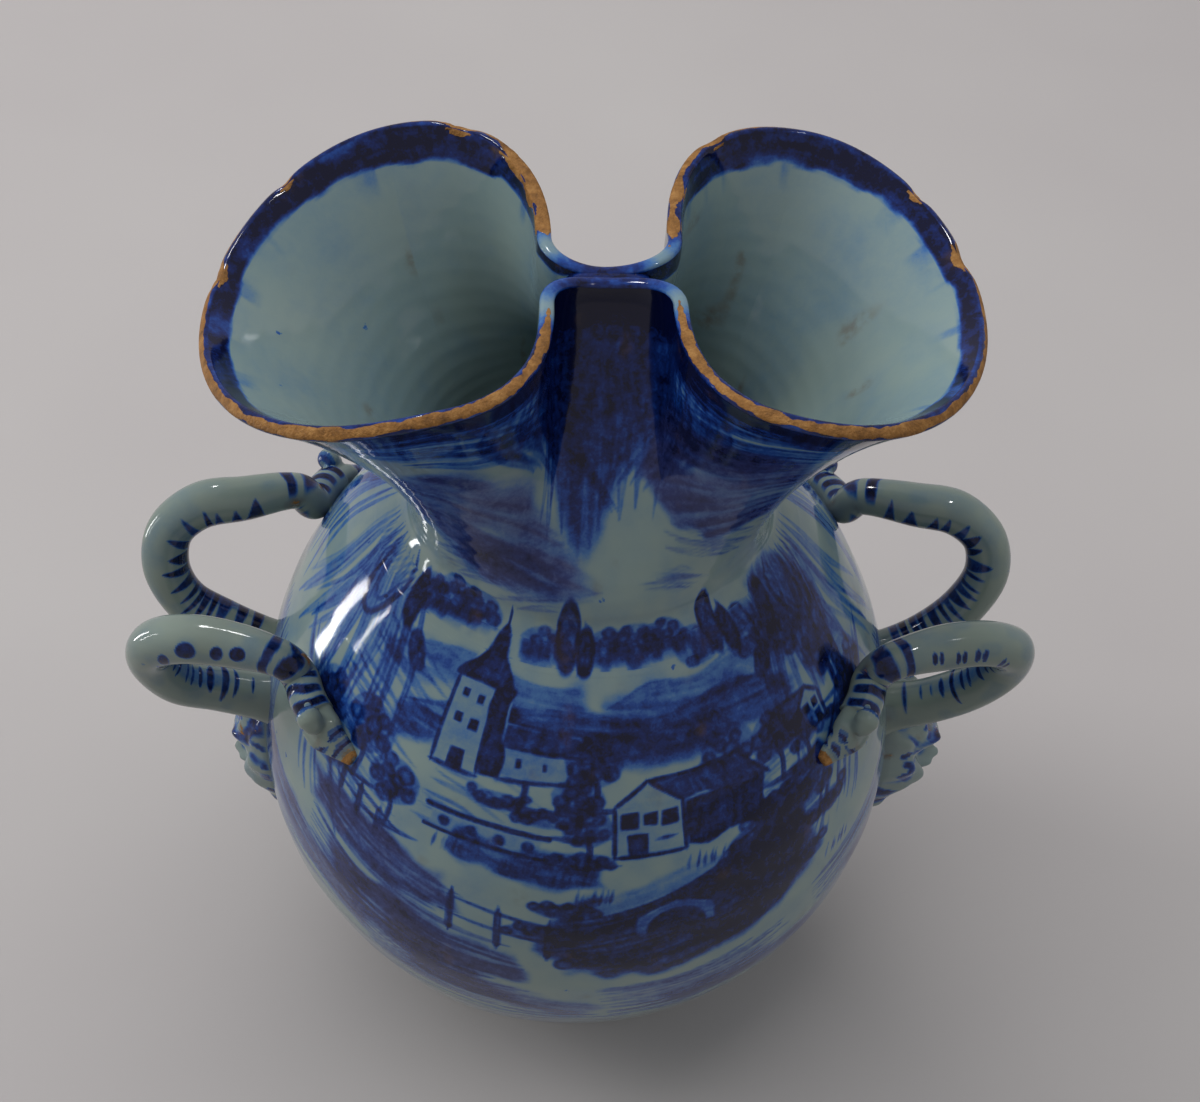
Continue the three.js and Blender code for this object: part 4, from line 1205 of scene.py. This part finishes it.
# Serpent heads
def remeshed(name, parts, voxel, relax, material):
    """Several overlapping meshes melted into one smooth skin."""
    points, faces, offset = [], [], 0
    for some_points, some_faces in parts:
        points.append(some_points)
        faces += [[k + offset for k in face] for face in some_faces]
        offset += len(some_points)
    thing = make_object(name, np.vstack(points), faces, material)
    melt = thing.modifiers.new("melt", "REMESH")
    melt.mode = "VOXEL"
    melt.voxel_size = voxel * MM
    melt.use_smooth_shade = True
    ease = thing.modifiers.new("ease", "SMOOTH")
    ease.factor = 0.5
    ease.iterations = relax
    graph = bpy.context.evaluated_depsgraph_get()
    mesh = bpy.data.meshes.new_from_object(thing.evaluated_get(graph))
    old = thing.data
    thing.modifiers.clear()
    thing.data = mesh
    bpy.data.meshes.remove(old)
    mesh.name = name
    mesh.materials.clear()
    mesh.materials.append(material)
    mesh.polygons.foreach_set("use_smooth", np.ones(len(mesh.polygons), bool))
    return thing


def ball(centre, radii):
    """An oval of quads about a point."""
    tilt = np.linspace(-math.pi / 2, math.pi / 2, 13)[:, None]
    turn = full_turn(TUBE_AROUND)
    shape = np.stack([np.cos(tilt) * np.cos(turn), np.cos(tilt) * np.sin(turn), np.sin(tilt) + 0 * turn], -1)
    return shape * radii + centre, grid_faces(len(tilt), TUBE_AROUND)


def tube(line, radius, reference, flatten=1.0):
    grid, _ = tube_grid(line, radius[:, None], reference, TUBE_AROUND, flatten)
    return grid, capped(grid)


def smooth_run(points, count):
    """So many points, evenly placed on a smooth line through a few."""
    line = even_line(centripetal_line(points, 12), 0.01)
    return line[np.linspace(0, len(line) - 1, count).astype(int)]


def head_parts(jaw, out, ahead, aside, share):
    """The jaw, its raised edge, a snout that curls back into a knob, and two eyes."""
    swell = COIL_END_RADIUS * (1 - 0.7 * share ** 2.6) * (1 + 0.16 * bell(share, 0.45, 0.18))
    leaf_line = jaw - out * (0.6 + 0.9 * share)[:, None] + aside * (1.4 * bell(share, 0.5, 0.3))[:, None]
    ridge_line = leaf_line + aside * (0.72 * swell)[:, None] + out * (0.34 * swell)[:, None]
    ridge_line = ridge_line[int(0.12 * len(jaw)):]
    brow = int(0.34 * len(jaw))
    ways = np.stack([out[brow], aside[brow], ahead[brow]])

    def near_brow(lift, sideways, forward):
        return jaw[brow] + (lift, sideways, forward) @ ways

    curl = np.array([near_brow(1.0, 0, -1.5), near_brow(3.6, -1.2, 0.8), near_brow(5.6, -2.4, 1.4),
                     near_brow(6.4, -3.0, -0.4)])
    return (tube(leaf_line, swell, out[0], flatten=0.74),
            tube(ridge_line, np.linspace(2.1, 1.3, len(ridge_line)), out[0]),
            tube(smooth_run(curl, 24), np.linspace(3.6, 2.9, 24), ahead[brow]),
            ball(near_brow(6.0, -3.0, 0), (3.7, 3.7, 3.6)),
            ball(near_brow(3.6, 2.9, -4.2), (1.4, 1.4, 1.4)),
            ball(near_brow(3.6, -2.9, -4.2), (1.4, 1.4, 1.4)))


def head_piece(name, side, depth_sign, seed, material):
    """A serpent's head: a leaf-shaped lower jaw on the shoulder and a snout that curls back into a knob."""
    line = serpent_line(side)
    jaw = line[len(line) - int(HEAD_LENGTH / COIL_STEP) - 4:]
    out = unit(over_globe(jaw[:, 1], jaw[:, 2], 1.0) - over_globe(jaw[:, 1], jaw[:, 2], 0.0))
    ahead = unit(np.gradient(jaw, axis=0))
    aside = unit(np.cross(ahead, out))
    parts = head_parts(jaw, out, ahead, aside, np.linspace(0, 1, len(jaw)))
    parts = [mirrored(points, faces, side["sign"], depth_sign) for points, faces in parts]
    thing = remeshed(name, parts, 0.55, 3, material)

    places = np.zeros(len(thing.data.vertices) * 3)
    thing.data.vertices.foreach_get("co", places)
    places = (places.reshape(-1, 3) / MM - (0, 0, CENTRE_Z)) * (side["sign"], depth_sign, 1)
    jaw, out = jaw[::2], out[::2]
    nearest = np.linalg.norm(places[:, None] - jaw, axis=-1).argmin(1)
    along = nearest / (len(jaw) - 1)
    height = np.sum((places - jaw[nearest]) * out[nearest], -1)
    grain = lattice_noise(places[:, 0] / 2 + 99, places[:, 1] / 2 + 99, seed)
    crease = np.maximum(bell(along, 0.62, 0.05), bell(along, 0.8, 0.04)) * (height < 2.2) * (grain > 0.3)
    collar = bell(along, 0.2, 0.05) * (height > 2)
    tip = smoothstep(along, 0.84, 0.97) * (height < 4.5)
    set_layers(thing.data, dict(cobalt=np.clip(0.85 * crease + 0.6 * collar, 0, 1),
                                stain=np.clip(0.9 * tip + 0.4 * grain * (along > 0.5), 0, 1),
                                biscuit=0.85 * tip * smoothstep(grain, 0.15, 0.6)))
    return thing


# Masks. Each bump has its height, its middle across and up, how far up it slants to the side for each
# millimetre out, and its two widths.
MASK_BUMPS = (
    (0.12, 0, -6, 0, 13, 6),  # forehead
    (0.1, 0, -34, 0, 9, 7),  # chin
    (0.24, 6.2, -5.2, 0.16, 4.6, 1.7),  # brows
    (-0.2, 6.6, -10.4, 0, 3.4, 2.3),  # eye sockets
    (0.17, 6.4, -10.7, 0, 1.9, 1.4),  # eyes
    (0.24, 0, -11, 0, 2.1, 5.5),  # nose
    (0.36, 0, -17.6, 0, 3.4, 2.5),  # tip of the nose
    (0.2, 4.0, -18.4, 0, 1.7, 1.7),  # nostrils
    (0.24, 10.2, -17.2, 0, 4.0, 4.2),  # cheeks
    (0.2, 5.4, -21.15, -0.25, 4.4, 1.5),  # moustache
)


def mask_relief(across, up):
    """The height of the mask over the globe, as a share of its full height."""
    wide = np.abs(across)
    face = 0.46
    for height, middle, level, slant, width, tallness in MASK_BUMPS:
        face = face + height * bell(wide, middle, width) * bell(up, level + slant * wide, tallness)
    gape = np.hypot(across / 5.6, (up + 28) / 3.2)
    mouth = -0.34 * smoothstep(-gape, -0.95, -0.55) + 0.14 * bell(gape, 1.12, 0.2)
    locks = 0.07 * (1 + np.cos(across * 1.04 + 0.1 * up)) * smoothstep(-up, 31, 36)
    side_curls = 0.13 * smoothstep(wide, 11.5, 14) * (0.5 + 0.5 * np.cos(up * 0.7 + 0.6))
    hair = 0.09 * (1 + np.cos(across * 0.8)) * smoothstep(up, -3.5, 1)
    return face + mouth + locks + side_curls + hair


def mask_hollows(across, up):
    """How deep each place lies under its surroundings, and so how much pigment gathers there."""
    around = sum(mask_relief(across + 1.7 * math.cos(a), up + 1.7 * math.sin(a)) for a in full_turn(8))
    return around / 8 - mask_relief(across, up)


def mask_piece(name, side, seed, material):
    """A moulded face, as rings from its rim in to its middle."""
    top = side["limb_drop"] - MASK_BROW + COIL_RADIUS
    middle_up, half_height = (top - MASK_BEARD) / 2, (top + MASK_BEARD) / 2
    turn = full_turn(MASK_AROUND)
    shares = np.concatenate([[0.3, 1.0, 1.02], np.linspace(1, 0.002, MASK_RINGS) ** 0.85])[:, None]
    wave = np.sin(turn * 13 + 0.8)
    reach = shares * (1 + 0.03 * wave)
    taper = 1 - 0.35 * np.maximum(0, -np.sin(turn)) * shares
    across = reach * MASK_HALF_WIDTH * taper * np.cos(turn)
    up = middle_up + reach * half_height * np.sin(turn)

    edge = 0.2 + 0.8 * (1 - np.exp(-4.5 * (1 - np.minimum(shares, 1))))
    scallop = 1 + 0.06 * wave * smoothstep(shares, 0.55, 0.9)
    height = side["relief"] * edge * (0.05 + 0.95 * mask_relief(across, up)) * scallop
    for _ in range(4):
        height = (np.roll(height, 1, 1) + 2 * height + np.roll(height, -1, 1)) / 4
        height[4:-1] = (height[3:-2] + 2 * height[4:-1] + height[5:]) / 4
    height[:2] = -3.0
    height[2] = 0.4
    grid = over_globe(across, up, height)

    lean_a, lean_b = across + 0.6 * up + 90, up - 0.6 * across + 90
    grain = lattice_noise(lean_a / 4, lean_b / 4, seed)
    fine = lattice_noise(lean_a / 1.3, lean_b / 1.3, seed + 1)
    wide = np.abs(across)
    pupils = bell(wide, 6.4, 0.9) * bell(up, -10.6, 0.9)
    brows = bell(wide, 6.4, 4.2) * bell(up, -4.6 + 0.16 * wide, 0.8)
    dabs = smoothstep(mask_hollows(across, up) + 0.08 * (grain - 0.5), 0.015, 0.06)
    dabs = np.maximum(dabs, np.clip(1.2 * (pupils + brows), 0, 1))
    loose = smoothstep(lattice_noise(lean_a / 3.2 + 50, lean_b / 2.6, seed + 3), 0.62, 0.76)
    dabs = np.maximum(dabs, 0.85 * loose * np.maximum(smoothstep(up, -5, -2), smoothstep(shares, 0.7, 0.85)))
    dabs[:3] = 0
    ochre = smoothstep(lattice_noise(lean_a / 4.2, lean_b / 4.2, seed + 2), 0.7, 0.86)
    layers = dict(cobalt=0.85 * dabs * (0.6 + 0.6 * fine), stain=0.8 * ochre, biscuit=0.75 * ochre * fine)
    points, faces = mirrored(grid, capped(grid), side["sign"], 1)
    return make_object(name, points, faces, material, layers)


# Materials
def linear(*channels):
    """A colour from the 0 to 255 values a screen shows."""
    shares = [c / 255 for c in channels]
    return (*[((s + 0.055) / 1.055) ** 2.4 if s > 0.04 else s / 12.92 for s in shares], 1.0)


class Shader:
    """A small helper that adds nodes to a material or a world and links them."""

    def __init__(self, owner):
        owner.use_nodes = True
        self.tree = owner.node_tree
        self.tree.nodes.clear()

    def node(self, kind, inputs=None, **settings):
        made = self.tree.nodes.new(kind)
        for key, value in settings.items():
            setattr(made, key, value)
        for key, value in (inputs or {}).items():
            if isinstance(value, bpy.types.NodeSocket):
                self.tree.links.new(value, made.inputs[key])
            else:
                made.inputs[key].default_value = value
        return made

    def noise(self, place, scale, detail=3.0, rough=0.55, warp=0.0):
        inputs = {"Vector": place, "Scale": scale, "Detail": detail, "Roughness": rough, "Distortion": warp}
        return self.node("ShaderNodeTexNoise", inputs).outputs["Fac"]

    def value(self, layer):
        return self.node("ShaderNodeAttribute", attribute_name=layer).outputs["Fac"]

    def sum(self, operation, a, b, clamp=False):
        return self.node("ShaderNodeMath", {0: a, 1: b}, operation=operation, use_clamp=clamp).outputs[0]

    def remap(self, value, low, high, to_low=0.0, to_high=1.0, smooth=True):
        inputs = {"Value": value, "From Min": low, "From Max": high, "To Min": to_low, "To Max": to_high}
        kind = "SMOOTHSTEP" if smooth else "LINEAR"
        return self.node("ShaderNodeMapRange", inputs, interpolation_type=kind).outputs["Result"]

    def ramp(self, value, stops):
        made = self.node("ShaderNodeValToRGB", {"Fac": value})
        elements = made.color_ramp.elements
        while len(elements) < len(stops):
            elements.new(0.5)
        for element, (position, colour) in zip(elements, stops):
            element.position = position
            element.color = colour
        return made.outputs["Color"]

    def mix(self, share, a, b, blend="MIX"):
        made = self.node("ShaderNodeMix", {0: share, 6: a, 7: b}, data_type="RGBA", blend_type=blend)
        return made.outputs[2]

    def bump(self, height, strength, distance, under=None):
        inputs = {"Height": height, "Strength": strength, "Distance": distance}
        if under is not None:
            inputs["Normal"] = under
        return self.node("ShaderNodeBump", inputs).outputs[0]

    def seen_directly(self):
        """1 where the camera sees a place, or sees it in a mirror or through glass."""
        rays = self.node("ShaderNodeLightPath").outputs
        bent = self.sum("MAXIMUM", rays["Is Glossy Ray"], rays["Is Transmission Ray"])
        return self.sum("MAXIMUM", rays["Is Camera Ray"], bent)

    def finish(self, output, share, plain, other):
        """Mixes two surfaces into the output."""
        both = self.node("ShaderNodeMixShader", {0: share, 1: plain.outputs[0], 2: other.outputs[0]})
        self.node(output, {"Surface": both.outputs[0]})


COBALT_STOPS = (
    (0.0, linear(136, 151, 148)),
    (0.1, linear(110, 134, 150)),
    (0.25, linear(66, 108, 163)),
    (0.45, linear(27, 67, 143)),
    (0.68, linear(13, 36, 98)),
    (1.0, linear(4, 10, 44)),
)
VIOLET_STOPS = (
    (0.0, linear(136, 151, 148)),
    (0.12, linear(116, 125, 143)),
    (0.3, linear(82, 92, 134)),
    (0.55, linear(47, 54, 106)),
    (1.0, linear(15, 19, 56)),
)
CLAY_STOPS = (
    (0.28, linear(88, 58, 28)),
    (0.5, linear(136, 94, 46)),
    (0.75, linear(170, 126, 72)),
)
SOILED = linear(104, 78, 48)
BACKGROUND = linear(184, 178, 177)
PAPER_STOPS = (
    (0.3, linear(180, 174, 173)),
    (0.7, linear(186, 181, 179)),
)


def glaze(name, dark_tone, light_tone, speckle=1.0):
    """Tin glaze painted with cobalt, bare and ochre where it is worn off."""
    material = bpy.data.materials.new(name)
    made = Shader(material)
    place = made.node("ShaderNodeTexCoord").outputs["Object"]
    broad = made.noise(place, 17, 3)
    brush = made.noise(place, 330, 3, warp=0.4)
    fine = made.noise(place, 1300, 2)
    spots = made.node("ShaderNodeTexVoronoi", {"Vector": place, "Scale": 95.0}).outputs["Distance"]

    load = made.sum("MULTIPLY", made.value("cobalt"), made.remap(brush, 0.2, 0.8, 0.72, 1.25))
    load = made.sum("MULTIPLY", load, made.remap(fine, 0.2, 0.8, 0.88, 1.12))
    spots = made.sum("ADD", spots, made.remap(made.noise(place, 700, 2), 0.3, 0.7, -0.05, 0.05))
    spots = made.remap(spots, 0.02, 0.08, 0.35 * speckle, 0.0)
    load = made.sum("ADD", load, made.sum("MULTIPLY", spots, made.remap(broad, 0.5, 0.62)))
    load = made.sum("ADD", load, made.remap(made.noise(place, 60, 4), 0.45, 0.8, 0.0, 0.05), clamp=True)
    blue = made.mix(made.value("violet"), made.ramp(load, COBALT_STOPS), made.ramp(load, VIOLET_STOPS))
    toned = made.mix(1.0, blue, made.ramp(broad, ((0.3, dark_tone), (0.7, light_tone))), "MULTIPLY")

    soiled = made.sum("MULTIPLY", made.value("stain"), made.remap(made.noise(place, 240, 4), 0.35, 0.7))
    fray = made.remap(made.noise(place, 520, 3), 0.25, 0.75, -0.22, 0.22, smooth=False)
    bare = made.remap(made.sum("ADD", made.value("biscuit"), fray), 0.42, 0.56)
    clay = made.ramp(made.noise(place, 260, 5, 0.7), CLAY_STOPS)
    colour = made.mix(bare, made.mix(soiled, toned, SOILED), clay)

    shine = made.remap(made.noise(place, 45, 3), 0.3, 0.7, 0.05, 0.11)
    rough = made.sum("ADD", shine, made.sum("MULTIPLY", soiled, 0.2))
    rough = made.node("ShaderNodeMix", {0: bare, 2: rough, 3: 0.72}).outputs[0]
    ripple = made.bump(made.noise(place, 55, 2), 0.15, 0.0008)
    peel = made.bump(made.noise(place, 300, 2), 0.05, 0.0003, ripple)
    pits = made.bump(made.sum("MULTIPLY", bare, fine), 0.6, 0.0008, peel)
    surface = made.node("ShaderNodeBsdfPrincipled", {
        "Base Color": colour, "Roughness": rough, "IOR": 1.5, "Specular IOR Level": 0.34, "Normal": pits})
    made.node("ShaderNodeOutputMaterial", {"Surface": surface.outputs[0]})
    return material


def floor_material():
    """Pale paper that fades into the background far from the vase."""
    material = bpy.data.materials.new("floor_paper")
    made = Shader(material)
    place = made.node("ShaderNodeTexCoord").outputs["Object"]
    colour = made.ramp(made.noise(place, 3, 3), PAPER_STOPS)
    paper = made.node("ShaderNodeBsdfPrincipled", {
        "Base Color": colour, "Roughness": 0.95, "Specular IOR Level": 0.0})
    glow = made.node("ShaderNodeEmission", {"Color": BACKGROUND, "Strength": 1.0})
    away = made.node("ShaderNodeVectorMath", {0: place}, operation="LENGTH").outputs["Value"]
    far = made.sum("MULTIPLY", made.remap(away, 0.85, 1.7), made.seen_directly())
    made.finish("ShaderNodeOutputMaterial", far, paper, glow)
    return material


# Camera, floor and lights, in metres
CAMERA_FOCUS = 64.26
CAMERA_SENSOR = 36
CAMERA_PLACE = (-34.25, -446.03, 538.41 + CENTRE_Z)
CAMERA_RIGHT = (0.9982, -0.0353, 0.0485)
CAMERA_UP = (-0.0082, 0.7212, 0.6926)
CAMERA_BACK = (-0.0594, -0.6918, 0.7197)
FLOOR_HALF = 8.0
SKY_TINT = (0.9, 0.95, 1.0, 1)
SKY_STRENGTH = 0.3

MIDDLE = (0, 0, 0.14)
SHOULDER = (-0.072, -0.024, 0.178)

# Name, place, target, size, power, and whether a lamp fills the room or shines in the glaze
LAMPS = (
    ("ceiling", (-0.3, 0.35, 1.8), MIDDLE, (2.2, 2.0), 25, True, False),
    ("window", (-2.4, 0.6, 1.3), MIDDLE, (1.0, 1.2), 28, True, False),
    ("far_wall", (2.2, 0.2, 1.1), MIDDLE, (1.2, 1.2), 7, True, False),
    ("window_pane", (-0.575, 0.18, 0.14), SHOULDER, (0.036, 0.25), 0.55, False, True),
    ("window_side", (-0.6, 0.05, 0.235), SHOULDER, (0.013, 0.25), 0.22, False, True),
    ("skylight", (-0.3, 0.7, 1.5), MIDDLE, (0.14, 0.14), 4, False, True),
    ("ceiling_lamp", (0.48, -0.24, 1.6), MIDDLE, (0.13, 0.05), 1.6, False, True),
)


def add_camera():
    """The photograph's view."""
    data = bpy.data.cameras.new("camera")
    data.sensor_width = CAMERA_SENSOR
    data.sensor_fit = "HORIZONTAL"
    data.lens = CAMERA_FOCUS
    data.clip_end = 50
    camera = link_object("camera", data)
    turn = Matrix((CAMERA_RIGHT, CAMERA_UP, CAMERA_BACK)).transposed().to_4x4()
    camera.matrix_world = Matrix.Translation(Vector(CAMERA_PLACE) * MM) @ turn
    bpy.context.scene.camera = camera


def add_floor():
    mesh = bpy.data.meshes.new("floor")
    corners = [(x * FLOOR_HALF, y * FLOOR_HALF, 0) for x, y in ((-1, -1), (1, -1), (1, 1), (-1, 1))]
    mesh.from_pydata(corners, [], [(0, 1, 2, 3)])
    mesh.materials.append(floor_material())
    link_object("floor", mesh)


def add_lamp(name, place, target, size, power, fills, shines):
    """A soft rectangle of light."""
    data = bpy.data.lights.new(name, "AREA")
    data.shape = "RECTANGLE"
    data.size, data.size_y = size
    data.energy = power
    lamp = link_object(name, data)
    lamp.location = place
    lamp.rotation_euler = (Vector(target) - lamp.location).to_track_quat("-Z", "Y").to_euler()
    lamp.visible_diffuse = fills
    lamp.visible_glossy = shines


def add_world():
    """Soft light from all sides, with the background's colour where it is seen."""
    world = bpy.data.worlds.new("room")
    made = Shader(world)
    lit = made.node("ShaderNodeBackground", {"Color": SKY_TINT, "Strength": SKY_STRENGTH})
    seen = made.node("ShaderNodeBackground", {"Color": BACKGROUND, "Strength": 1.0})
    made.finish("ShaderNodeOutputWorld", made.seen_directly(), lit, seen)
    bpy.context.scene.world = world


def light_room():
    for lamp in LAMPS:
        add_lamp(*lamp)
    add_world()
    bpy.context.scene.view_settings.view_transform = "Standard"


def build_vase():
    cool = (linear(236, 244, 243), linear(255, 255, 250))
    body_glaze = glaze("painted_tin_glaze", *cool)
    coil_glaze = glaze("coil_tin_glaze", linear(222, 220, 210), linear(240, 236, 226), speckle=0.5)
    mask_glaze = glaze("mask_tin_glaze", linear(232, 236, 238), linear(250, 246, 240))
    foot_glaze = glaze("foot_tin_glaze", *cool)
    canvas = paint_canvas()
    finish_piece(globe_piece(canvas, body_glaze), "painted_glaze", "globe")
    finish_piece(neck_piece(canvas, body_glaze), "painted_glaze", "double_mouth_neck")
    finish_piece(bridge_piece(body_glaze), "painted_glaze")
    finish_piece(foot_piece(foot_glaze), "foot_glaze", "foot_ring")
    for name, side in SIDES.items():
        for place, depth_sign in (("front", -1), ("back", 1)):
            label = f"{name}_{place}"
            seed = 1000 + 10 * side["sign"] + depth_sign
            coil = handle_piece(f"coil_{label}", side, depth_sign, seed, coil_glaze)
            finish_piece(coil, "coil_glaze", f"handle_{label}")
            head = head_piece(f"head_{label}", side, depth_sign, seed + 50, coil_glaze)
            finish_piece(head, "coil_glaze", f"serpent_head_{label}")
        mask = mask_piece(f"moulded_mask_{name}", side, 1100 + side["sign"], mask_glaze)
        finish_piece(mask, "mask_glaze", f"mask_{name}")


add_camera()
add_floor()
build_vase()
light_room()
